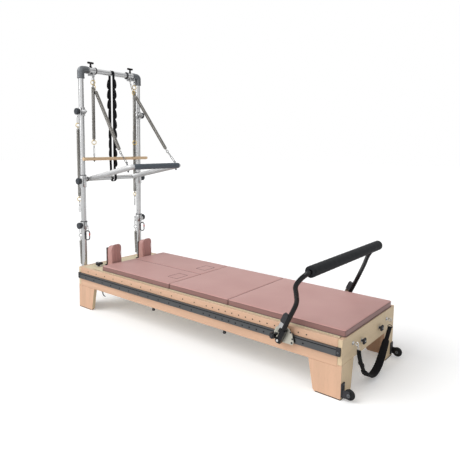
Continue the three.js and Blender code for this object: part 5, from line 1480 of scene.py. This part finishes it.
class REFORMER_OT_foot_end(bpy.types.Operator):
    """Makes the transport wheels and the padded foot strap with its buckle and rings"""

    bl_idname = "reformer.foot_end"
    bl_label = "Foot end"

    def execute(self, context):
        for side, out in SIDES:
            self.wheel(side, out)
        self.strap()
        return {"FINISHED"}

    def wheel(self, side, out):
        form = Form()
        y = flip(20, out)
        tyre = [
            (0, 5.7), (0, 21), (1, 23), (1, 26.4), (3.4, 29.8), (6, 30.8), (12, 30.8), (14.6, 29.8),
            (17, 26.4), (17, 23)
        ]
        tyre += [(18, 21), (18, 5.7)]
        form.add(turned((WHEEL_X, y - 9, WHEEL_Z), (0, 1, 0), tyre, 40, True), 0)
        for way in (-1, 1):
            form.add(ring((WHEEL_X, y + way * 8.9, WHEEL_Z), (0, 1, 0), 12, 1.2, 28, 6), 1)
        looks = ["tyre_rubber", "black_plastic"]
        node = "transport_wheel_" + side
        make(node + "_dressed", form, looks, node, (node,), smooth=40)
        bracket = "wheel_bracket_" + side
        softened(bracket, "black_plastic", "frame", 1.0)
        form = Form()
        for z in (84, 30):
            bolt(form, (2406.2, flip(26, out), z), (1, 0, 0), 4.6, 4.4, 0, 1, 16)
        bolt(form, (WHEEL_X, flip(33.2, out), WHEEL_Z), (0, -out, 0), 6.6, 3.4, 0, 1, 6)
        bolt(form, (WHEEL_X, flip(4.7, out), WHEEL_Z), (0, out, 0), 7.2, 4.2, 0, 1, 16)
        make(f"wheel_bolts_{side}", form, ["cast_grey", "deep_black"], "frame", smooth=40)

    def strap(self):
        shares = [
            (-1, 0), (-0.93, 0.24), (-0.84, 0.42), (-0.62, 0.72), (-0.34, 0.94), (-0.04, 1), (0.26, 0.9)
        ]
        shares += [(0.56, 0.6), (0.78, 0.33), (0.93, 0.14), (1, 0)]
        points = [(STRAP_X, MIDDLE + STRAP_REACH * a, STRAP_EYE_Z - STRAP_SAG * b) for a, b in shares]
        route = curve(points, 100)
        pad = Form().add(band(route[28:84], (1, 0, 0), 51, 11, 0.45, 0.3))
        piece = make("foot_strap_pad", pad, "black_webbing", "frame", ("foot_strap",), smooth=50)
        web = Form()
        web.add(band(route[5:31], (1, 0, 0), 26, 3, 0.4))
        web.add(band(route[82:95], (1, 0, 0), 27, 4, 0.4))
        shifted = [p + Vector((0, -4.4, 1.5)) for p in route[8:27]]
        web.add(band(shifted, (1, 0, 0), 25, 2.4, 0.4))
        shifted = [p + Vector((0, 4.2, 2.5)) for p in route[70:95]]
        web.add(band(shifted, (1, 0, 0), 26, 2.6, 0.4))
        make("foot_strap_webbing", web, "black_webbing", "frame", smooth=50)
        thread = Form()
        for across in (-21.5, 21.5):
            for lift in (-5.6, 5.6):
                line = []
                for i in range(30, 83):
                    ahead = (route[i + 1] - route[i - 1]).normalized()
                    over = ahead.cross(Vector((1, 0, 0)))
                    line.append(route[i] + Vector((across * 0.93, 0, 0)) + over * lift)
                thread.add_mesh(stitches(line, sizes().stitch_pitch / MM, 0.5, 4))
        make("foot_strap_stitches", thread, "strap_thread", "frame")
        self.fittings(route)

    def fittings(self, route):
        form = Form()
        for _, out in SIDES:
            y = spread(out, STRAP_REACH)
            form.add(disc((2400.3, y, STRAP_EYE_Z), (1, 0, 0), 2.5, 12, 0.5), 0)
            form.add(disc((2402.5, y, STRAP_EYE_Z), (1, 0, 0), 4.5, 8.5, 0.8, 6), 0)
            form.add(sweep([(2406, y, STRAP_EYE_Z), (2417, y, STRAP_EYE_Z)], 4, 12), 0)
            form.add(ring((2424, y, STRAP_EYE_Z), (0, 1, 0), 9.5, 3.1, 28, 10), 0)
        near, far = route[5], route[94]
        snap_hook(form, (2428, spread(-1, STRAP_REACH), 286), near + Vector((0, -1, 3)), 0, (1, 0, 0), 1.1)
        loop = [
            Vector((STRAP_X + 15 * math.cos(a), 0, 15 * math.sin(a)))
            for a in [math.pi * k / 12 for k in range(13)]
        ]
        form.add(sweep([p + Vector((0, far.y + 2, far.z - 1)) for p in loop], 2.3, 10, True), 1)
        buckle = route[19]
        ahead = (route[20] - route[18]).normalized()
        over = ahead.cross(Vector((1, 0, 0)))
        for along in (-10, 0, 10):
            centre = buckle + ahead * along + over * 1.5
            form.add(sweep([centre + Vector((-16, 0, 0)), centre + Vector((16, 0, 0))], 2.1, 8), 1)
        for across in (-16, 16):
            centre = buckle + over * 1.5 + Vector((across, 0, 0))
            form.add(sweep([centre - ahead * 12, centre + ahead * 12], 2.4, 8), 1)
        make("foot_strap_fittings", form, ["polished_steel", "black_plastic"], "frame", smooth=45)


def rounded_cap(length, radius, edge):
    """A turned profile with a domed edge at both ends."""
    quarter = [math.pi / 2 * k / 5 for k in range(6)]
    start = [(edge * (1 - math.cos(a)), radius - edge + edge * math.sin(a)) for a in quarter]
    return start + [(length - along, r) for along, r in reversed(start)]


class REFORMER_OT_tower(bpy.types.Operator):
    """Makes the tower: uprights with clamps, cast elbows, crossbar, sliders with T-knobs, and the collars"""

    bl_idname = "reformer.tower"
    bl_label = "Tower"

    def execute(self, context):
        for side, out in SIDES:
            y = spread(out, TOWER_SPREAD)
            self.upright(side, y)
            self.elbow(side, out, y)
            self.slider(side, out)
            self.spring_collar("upper_collar_" + side, out, y, UPPER_Z)
            self.spring_collar("lower_collar_" + side, out, y, LOWER_Z)
            self.pivot_collar("middle_collar_" + side, out, y)
        reach = TOWER_SPREAD - 24
        bar = Form().add(disc((TOWER_X, MIDDLE - reach, CROSSBAR_Z), (0, 1, 0), 2 * reach, TUBE, 1, 48))
        make("crossbar_tube", bar, "tower_tube_across", "frame", ("crossbar",))
        return {"FINISHED"}

    def upright(self, side, y):
        form = Form()
        form.add(disc((TOWER_X, y, 60), (0, 0, 1), 1890, TUBE, 1.2, 48), 0)
        form.add(disc((TOWER_X, y, 57), (0, 0, 1), 12, TUBE - 1.5, 1, 32), 2)
        make(
            f"upright_{side}_tube", form, ["tower_tube", "cast_grey", "black_plastic"], "frame",
            ("upright_" + side,)
        )
        form = Form()
        for low in (110, 270):
            corners = rounded(TOWER_X - 27, -0.3, y - 30, y + 30, 7, 5)
            form.add(slab(corners, "z", low, low + 44), 0)
            for across in (-25.5, 25.5):
                bolt(form, (TOWER_X - 27, y + across, low + 22), (-1, 0, 0), 3.6, 4, 1, 2)
            form.add(block(TOWER_X - 27.4, TOWER_X - 10, y - 0.9, y + 0.9, low + 1, low + 43), 2)
        form.add(slab(rounded(-73, -55, y - 5, y + 5, 2, 3), "z", 297, 314), 0)
        looks = ["cast_grey", "polished_steel", "deep_black"]
        make(f"upright_{side}_clamps", form, looks, "frame", bevel=1.2, smooth=42)

    def elbow(self, side, out, y):
        form = Form()
        corner = Vector((TOWER_X, y, CROSSBAR_Z))
        inward = Vector((0, -out, 0))
        down = Vector((0, 0, -1))
        middle = [corner + down * 72, *bend(corner, down, inward, 22), corner + inward * 62]
        form.add(sweep(middle, 28.6, 40), 0)
        for way, reach in ((down, 74), (inward, 64)):
            form.add(sleeve(corner + way * (reach - 13), way, 13, 30, 21.8, 1.6, 40), 0)
            form.add(sleeve(corner + way * (reach - 0.6), way, 1, 24.2, 21.4, 0.2, 40), 1)
        for place, way in (
            (corner + down * 46, Vector((1, 0, 0))), (corner + inward * 42, Vector((0, 0, 1)))
        ):
            form.add(disc(place + way * 27.4, way, 3, 6, 0.8, 20), 0)
            form.add(disc(place + way * 30, way, 0.6, 3, 0.1, 6), 1)
        make(
            f"elbow_{side}_cast", form, ["cast_grey", "deep_black"], "frame", ("elbow_" + side,),
            smooth=42
        )

    def slider(self, side, out):
        y = SLIDER_Y[side]
        inner = y - out * 35
        axis = Vector((0, out, 0))
        form = Form()
        form.add(sleeve((TOWER_X, inner + out * 6.5, CROSSBAR_Z), axis, 63.5, 27, 21.6, 2, 44), 0)
        form.add(sleeve((TOWER_X, inner, CROSSBAR_Z), axis, 7, 31.5 if out > 0 else 29.5, 21.6, 1.6, 44), 1)
        form.add(ring((TOWER_X, inner + out * 30, CROSSBAR_Z), axis, 26.6, 0.9, 44, 6), 2)
        knob = y + out * 12
        form.add(disc((TOWER_X, knob, CROSSBAR_Z + 24), (0, 0, 1), 9, 12, 1, 28), 2)
        form.add(disc((TOWER_X, knob, CROSSBAR_Z + 32), (0, 0, 1), 8, 8.4, 1, 6), 1)
        form.add(
            turned(
                (TOWER_X, knob, CROSSBAR_Z + 39), (0, 0, 1),
                [(0, 8.4), (6, 7.6), (12, 7.8), (19, 8.8), (24, 8.4)], 24
            ),
            2
        )
        form.add(turned((TOWER_X, knob - 30, CROSSBAR_Z + 62), (0, 1, 0), rounded_cap(60, 8.5, 6), 24), 2)
        for x, across in ((ROLL_X, ROLL_OFFSET), (-14, -6)):
            at_y = y + out * across
            corners = rounded(TOWER_X - 20, x + 7, CROSSBAR_Z - 44, CROSSBAR_Z - 21, 6, 5)
            form.add(slab(corners, "y", at_y - 4.5, at_y + 4.5), 0)
            for face in (-1, 1):
                form.add(disc((x, at_y + face * 4.3, CROSSBAR_Z - 37), (0, face, 0), 0.6, 3.6, 0.1, 16), 2)
            form.add(ring((x, at_y, CROSSBAR_Z - 43), (0.75, -0.66, 0), 8, 2, 24, 8), 0)
        looks = ["polished_steel", "black_plastic", "deep_black"]
        make(f"top_slider_{side}_dressed", form, looks, "frame", ("top_slider_" + side,), smooth=42)

    def knob(self, form, out, y, z, rubber, grey):
        """The ribbed knob that locks a collar, on its outer side."""
        way = Vector((0, out, 0))
        face = Vector((TOWER_X, y + out * 26, z))
        form.add(disc(face, way, 8, 12, 1, 24), rubber)
        form.add(disc(face + way * 7, way, 11, 8, 0.6, 20), rubber)
        rim = [
            (0, 12), (2, 21), (6, 25), (11, 27), (25, 27), (28, 25.6), (30, 22), (28.6, 18), (28.2, 7),
            (29.6, 5.4), (29.6, 3)
        ]
        form.add(turned(face + way * 2, way, rim, 96, False, 24, 0.05), grey)

    def slot(self, form, y, low, high, radius):
        """A dark cord down a collar, on its front and near side: the painted shade inside its opening."""
        aside = Vector((0.84, -0.54, 0)) * 24.6
        form.add(sweep([Vector((TOWER_X, y, z)) + aside for z in (low, high)], radius, 12), 2)

    def spring_collar(self, node, out, y, z):
        upper = z > 1000
        form = Form()
        form.add(sleeve((TOWER_X, y, z - 35), (0, 0, 1), 70, COLLAR_RADIUS, COLLAR_BORE, 2.2, 48), 0)
        if upper:
            for end in (-35.4, 31.4):
                form.add(sleeve((TOWER_X, y, z + end), (0, 0, 1), 4, 28.6, COLLAR_BORE, 0.8, 48), 0)
        else:
            form.add(sleeve((TOWER_X, y, z + 31), (0, 0, 1), 5, 29.6, COLLAR_BORE, 1.2, 48), 1)
        self.slot(form, y, z - 31, z + 31, 5)
        self.knob(form, out, y, z, 1, 3)
        form.add(slab(rounded(-91, -55, z - 9, z + 9, 4, 4), "y", y - 5, y + 5), 0)
        front = TOWER_X + 27
        if upper:
            cone = [(0, 17), (2, 21.5), (7, 22.5), (12, 20), (32, 8.5), (38, 7), (40, 4)]
            form.add(turned((front, y, z), (1, 0, 0), cone, 28), 4)
        else:
            form.add(disc((front, y, z), (1, 0, 0), 5, 8, 0.8, 6), 0)
            form.add(sweep([(front, y, z), (front + 11, y, z)], 3.6, 12), 0)
            form.add(ring((front + 20, y, z), (0, 1, 0), 9, 2.8, 28, 10), 0)
            self.carabiner(form, Vector((front + 20, y, z - 8)))
        looks = ["polished_steel", "black_plastic", "deep_black", "knob_grey", "plate_silver", "red_accent"]
        make(node + "_dressed", form, looks, node, (node,), smooth=42)

    def carabiner(self, form, top):
        facing = Vector(HOOK_FACING)
        form.add(link(top + Vector((0, 0, 4)), top - Vector((0, 0, 40)), 17, 2.2, facing), 0)
        eye = top - Vector((0, 0, 34))
        form.add(link(eye, eye - Vector((0, 0, 78)), 34, 4.3, facing, 12, 12), 1)
        side = Vector((0, 0, 1)).cross(facing).normalized() * 17
        for way, finish_at in ((1, 5), (-1, 1)):
            start = eye + side * way - Vector((0, 0, 22))
            form.add(turned(start, (0, 0, -1), [(0, 4.6), (1, 5.8), (17, 5.8), (18, 4.6)], 20), finish_at)

    def pivot_collar(self, node, out, y):
        form = Form()
        low, high = MIDDLE_Z - 52, MIDDLE_Z + 52
        form.add(sleeve((TOWER_X, y, low), (0, 0, 1), 100, COLLAR_RADIUS, COLLAR_BORE, 2.2, 48), 0)
        form.add(sleeve((TOWER_X, y, high - 6), (0, 0, 1), 6, 29.2, COLLAR_BORE, 1.2, 48), 1)
        form.add(sleeve((TOWER_X, y, low - 0.5), (0, 0, 1), 4, 28.8, COLLAR_BORE, 1, 48), 0)
        self.slot(form, y, low + 5, high - 8, 4.4)
        self.knob(form, out, y, MIDDLE_Z, 1, 3)
        form.add(disc((TOWER_X, y - out * 20, PUSH_PIVOT_Z), (0, -out, 0), 12, 20, 1, 36), 0)
        form.add(disc((TOWER_X, y - out * 30, PUSH_PIVOT_Z), (0, -out, 0), 6.8, 21, 1.2, 36), 1)
        looks = ["polished_steel", "black_plastic", "deep_black", "knob_grey"]
        make(node + "_dressed", form, looks, "frame", (node,), smooth=42)


class REFORMER_OT_springs(bpy.types.Operator):
    """Winds the eight springs and hangs them on their rings and snap hooks"""

    bl_idname = "reformer.springs"
    bl_label = "Springs"

    def execute(self, context):
        for side, out in SIDES:
            self.roll(side, SLIDER_Y[side] + out * ROLL_OFFSET)
            self.leg(side, spread(out, TOWER_SPREAD))
            self.lower(side, spread(out, TOWER_SPREAD))
            self.push(side, out)
        return {"FINISHED"}

    def wound(self, start, end, top_reach, low_reach):
        """A coil with a narrowing end and an eye at both ends."""
        start, end = Vector(start), Vector(end)
        way = (end - start).normalized()
        form = Form().add_mesh(coil(start, end), 0)
        outer = (sizes().coil_radius + sizes().wire_radius) / MM - 0.2
        spring_end(form, start, -way, top_reach, outer)
        spring_end(form, end, way, low_reach, outer)
        return form

    def brass_ring(self, form, place, facing):
        form.add(ring(place, facing, 17.5, 2.5, 36, 10), 2)

    def piece(self, kind, side, form, body):
        looks = ["spring_wire", "hook_steel", "brass"]
        node = f"{kind}_spring_{side}"
        return make(node + "_wound", form, looks, body, (node,), smooth=50)

    def roll(self, side, y):
        x = ROLL_X
        form = self.wound((x, y, 1832), (x, y, 1410), 30, 20)
        snap_hook(form, (x, y, 1934), (x, y, 1884), 1, HOOK_FACING, 0.8)
        self.brass_ring(form, (x, y, 1873), HOOK_FACING)
        self.brass_ring(form, (x, y, 1380), HOOK_FACING)
        snap_hook(form, (x, y, 1370), (x, y, 1284), 1, HOOK_FACING, 0.6)
        form.add(ring((x, y, 1275), (0, 1, 0), 8.5, 2.2, 24, 8), 1)
        form.add(sweep([(x, y, 1267), (x, y, 1217)], 2.6, 12), 1)
        form.add(disc((x, y, 1256.4), (0, 0, 1), 1.6, 8.5, 0.3, 20), 1)
        form.add(disc((x, y, 1227.8), (0, 0, -1), 1.6, 8.5, 0.3, 20), 1)
        form.add(disc((x, y, 1226), (0, 0, -1), 6, 6, 0.8, 6), 1)
        self.piece("roll", side, form, "roll_down_bar")

    def leg(self, side, y):
        x = BACK_EYE_X
        form = self.wound((x, y, 1486), (x, y, 932), 27, 22)
        facing = HOOK_FACING if side == "near" else (0.95, 0.3, 0)
        snap_hook(form, (x, y, 1621), (x, y, 1533), 1, facing, 0.85)
        self.brass_ring(form, (x, y, 1521), facing)
        self.brass_ring(form, (x, y, 900), facing)
        form.add(ring((x, y, 880), (facing[1], -facing[0], 0), 8, 2, 24, 8), 1)
        snap_hook(form, (x, y, 873), (x, y, 792), 1, facing, 0.8)
        self.piece("leg", side, form, "leg_spring_" + side)

    def lower(self, side, y):
        top, low = Vector((BACK_EYE_X, y, 671.7)), Vector((-66, y, 314.3))
        at_z = lambda z: top.lerp(low, (top.z - z) / (top.z - low.z))
        form = self.wound(at_z(540), at_z(346), 32, 27)
        snap_hook(form, at_z(672), at_z(604), 1, HOOK_FACING, 0.8)
        form.add(ring(at_z(588), HOOK_FACING, 14, 2.3, 32, 10), 1)
        spring = self.piece("lower", side, form, None)
        placed(at_z(346))
        placed(at_z(604))
        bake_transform(spring)

    def push(self, side, out):
        top = Vector((-14, SLIDER_Y[side] - out * 6, CROSSBAR_Z - 44))
        eye = push_hook(out, 38)
        first, last = (top.lerp(eye, share) - Vector((0, 0, drop)) for share, drop in PUSH_COILS[side])
        way = (last - first).normalized()
        high, low = first - way * 50, last + way * 35
        above, below = (high - top).normalized(), (eye - low).normalized()
        across = way.cross(Vector((0, 1, 0))).normalized()
        form = self.wound(first, last, 30, 26)
        flat = way.cross(across).normalized()
        snap_hook(form, top + above * 2, high - above * 12, 1, flat)
        self.brass_ring(form, high, flat)
        form.add(link(high + way * 13, high + way * 28, 10, 1.9, across), 1)
        form.add(ring(low, flat, 11.5, 2.1, 32, 10), 1)
        form.add(link(low + below * 8, low + below * 31, 11, 1.9, across), 1)
        snap_hook(form, low + below * 25, eye - below * 5, 1, flat, 1.05)
        spring = self.piece("push", side, form, None)
        placed(high - above * 12)
        placed(eye - below * 60)
        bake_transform(spring)


def push_point(out, share):
    """A point on a push bar arm's middle line, from its pivot to its corner."""
    y = spread(out, PUSH_ROOT + PUSH_SPREAD * share)
    return Vector((TOWER_X + PUSH_REACH * share, y, PUSH_PIVOT_Z + PUSH_RISE * share))


def push_hook(out, height):
    """A point on the eyebolt that goes square through an arm: height from the arm's middle line."""
    return push_point(out, HOOK_SHARE) + Vector((-PUSH_RISE, 0, PUSH_REACH)).normalized() * height


class REFORMER_OT_bars(bpy.types.Operator):
    """Makes the push bar with its foam sleeve and the wooden roll-down bar"""

    bl_idname = "reformer.bars"
    bl_label = "Push bar and roll-down bar"

    def execute(self, context):
        self.push_bar()
        self.sleeve()
        start = MIDDLE + ROLL_BAR_SHIFT - ROLL_BAR_LENGTH / 2
        bar = Form().add(
            turned((ROLL_X, start, ROLL_BAR_Z), (0, 1, 0), rounded_cap(ROLL_BAR_LENGTH, 14, 5), 32)
        )
        make("roll_bar_turned", bar, "turned_birch", "roll_down_bar", ("roll_bar",), smooth=50)
        return {"FINISHED"}

    def push_bar(self):
        path = []
        for out in (-1, 1):
            tip, way = push_point(out, 1), (push_point(out, 1) - push_point(out, 0)).normalized()
            inward = Vector((0, -out, 0))
            root = push_point(out, 0)
            arm = [root + way * 5, root + way * 40, tip - way * 90, *bend(tip, -way, inward, 32)]
            path += arm if out < 0 else arm[::-1]
        radii = [19.5, 21, 21.2, *[21.2] * 6, 21, 20.8, 20.4]
        form = Form().add(sweep(path, radii + radii[::-1], 36), 0)
        form.add(disc((TOWER_X, MIDDLE - 265.1, PUSH_PIVOT_Z), (0, 1, 0), 530.2, 19, 1, 44), 1)
        for out in (-1, 1):
            tip = push_point(out, 1)
            root = push_point(out, 0)
            form.add(sleeve(root + Vector((0, out * 27, 0)), (0, out, 0), 5.6, 21, 18, 1.2, 36), 3)
            at = lambda height: push_hook(out, height)
            square = at(1) - at(0)
            form.add(sweep([at(29), at(-32)], 3.6, 14), 1)
            form.add(ring(at(38), (0, 1, 0), 8, 2.7, 26, 10), 2)
            form.add(disc(at(20.2), square, 3, 8.4, 0.5, 24), 1)
            form.add(disc(at(23), square, 6, 6.6, 0.7, 6), 2)
            form.add(disc(at(-20.2), -square, 3, 8.4, 0.5, 24), 1)
            form.add(turned(at(-22.8), -square, [(0, 6.8), (7, 6.8), (8, 5.6), (11, 3.8), (12, 2)], 24), 2)
        looks = ["arm_steel", "polished_steel", "knob_grey", "black_plastic"]
        make("push_bar_tube", form, looks, "push_bar", ("push_bar",), smooth=42)

    def sleeve(self):
        ends = [push_point(out, 1).y - out * 20 for out in (-1, 1)]
        length, radius = ends[1] - ends[0], 22.5
        edge = [(0, 19.6), (0, radius - 3), (1, radius - 1), (3, radius - 0.2)]
        profile = foam_profile(edge, length, radius, 0.2, 1.9, 40)
        place = push_point(-1, 1)
        form = Form().add(turned((place.x, ends[0], place.z), (0, 1, 0), profile, 40, True))
        piece = make("push_bar_grip_sleeve", form, "slate_foam", "push_bar", ("push_bar_grip",))


class REFORMER_OT_loop_strap(bpy.types.Operator):
    """Sews the loop strap that hangs over the crossbar and turns under the push bar's cross tube"""

    bl_idname = "reformer.loop_strap"
    bl_label = "Loop strap"

    def execute(self, context):
        y = MIDDLE + 8
        above = TUBE + 1.8
        inner = above + 3
        over = [math.pi * k / 16 for k in range(17)]
        arc = [(TOWER_X + inner * math.cos(a), y, CROSSBAR_Z + above * math.sin(a)) for a in over]
        front, back = TOWER_X + inner, TOWER_X - inner
        front_leg = [(front, y, PUSH_PIVOT_Z + 68 + 20 * k) for k in range(41)]
        back_leg = [(back, y, CROSSBAR_Z - 20 * k) for k in range(1, 37)]
        turn = [
            (back, 1254), (-59, 1225), (-57, 1170), (-54.5, 1120), (-53.5, 1085), (-52, 1062), (-44, 1047)
        ]
        turn += [(-28, 1040), (-9, 1043), (5, 1056), (11, 1074), (8, 1096), (0, 1116), (front, 1140)]
        around = curve([(x, y + noise.noise(Vector((x, 0, z / 40))) * 3, z) for x, z in turn], 60)
        path = front_leg + arc + back_leg + list(around)[1:-1]
        form = Form().add(band(path, (0, 1, 0), 25, 2.6, 0.4))
        tacks = Form()
        for out in (1, -1):
            base = TOWER_X + out * (inner + 1.4)
            for i in range(9 if out > 0 else 8):
                top = CROSSBAR_Z - 49 - 86 * i
                tall = 86 * (0.97 if i < 7 else 0.8)
                bulge = 22 if out > 0 or i < 3 else 8
                shape = [
                    (0, 0), (0.15, 0.015), (0.5, 0.12), (0.82, 0.32), (1, 0.54), (1, 0.72), (0.76, 0.88),
                    (0.2, 0.985), (0, 1)
                ]
                steps = [
                    (base + out * (1 + bulge * b), y + noise.noise(Vector((i, b, out))) * 1.5, top - tall * d)
                    for b, d in shape
                ]
                form.add(band(curve(steps, 26), (0, 1, 0), 24.4, 2.2, 0.4))
                tacks.add(block(base + out * 0.2, base + out * 2.9, y - 10.5, y + 10.5, top - 1.4, top + 3))
        make("loop_strap_webbing", form, "black_webbing", "frame", ("loop_strap",), smooth=50)
        make("loop_strap_tacks", tacks, "strap_thread", "frame", bevel=0.5)
        return {"FINISHED"}


class REFORMER_PT_panel(bpy.types.Panel):
    """Lists the reformer's pieces"""

    bl_idname = "REFORMER_PT_panel"
    bl_label = "Reformer"
    bl_space_type = "VIEW_3D"
    bl_region_type = "UI"
    bl_category = "Reformer"

    def draw(self, context):
        for operator in OPERATORS:
            self.layout.operator(operator.bl_idname)
        for group in (context.scene.reformer_sizes, context.scene.reformer_colours):
            for key in group.bl_rna.properties.keys()[2:]:
                self.layout.prop(group, key)


OPERATORS = (
    REFORMER_OT_stage,
    REFORMER_OT_woodwork,
    REFORMER_OT_mats,
    REFORMER_OT_shoulder_rests,
    REFORMER_OT_knobs,
    REFORMER_OT_tracks,
    REFORMER_OT_footbar,
    REFORMER_OT_foot_end,
    REFORMER_OT_tower,
    REFORMER_OT_springs,
    REFORMER_OT_bars,
    REFORMER_OT_loop_strap,
)
CLASSES = (REFORMER_PG_colours, REFORMER_PG_sizes, *OPERATORS, REFORMER_PT_panel)


def register():
    for item in CLASSES:
        bpy.utils.register_class(item)
    bpy.types.Scene.reformer_colours = bpy.props.PointerProperty(type=REFORMER_PG_colours)
    bpy.types.Scene.reformer_sizes = bpy.props.PointerProperty(type=REFORMER_PG_sizes)


def unregister():
    del bpy.types.Scene.reformer_colours
    del bpy.types.Scene.reformer_sizes
    for item in reversed(CLASSES):
        bpy.utils.unregister_class(item)


def main():
    register()
    for operator in OPERATORS:
        group, name = operator.bl_idname.split(".")
        getattr(getattr(bpy.ops, group), name)()


if __name__ == "__main__":
    main()
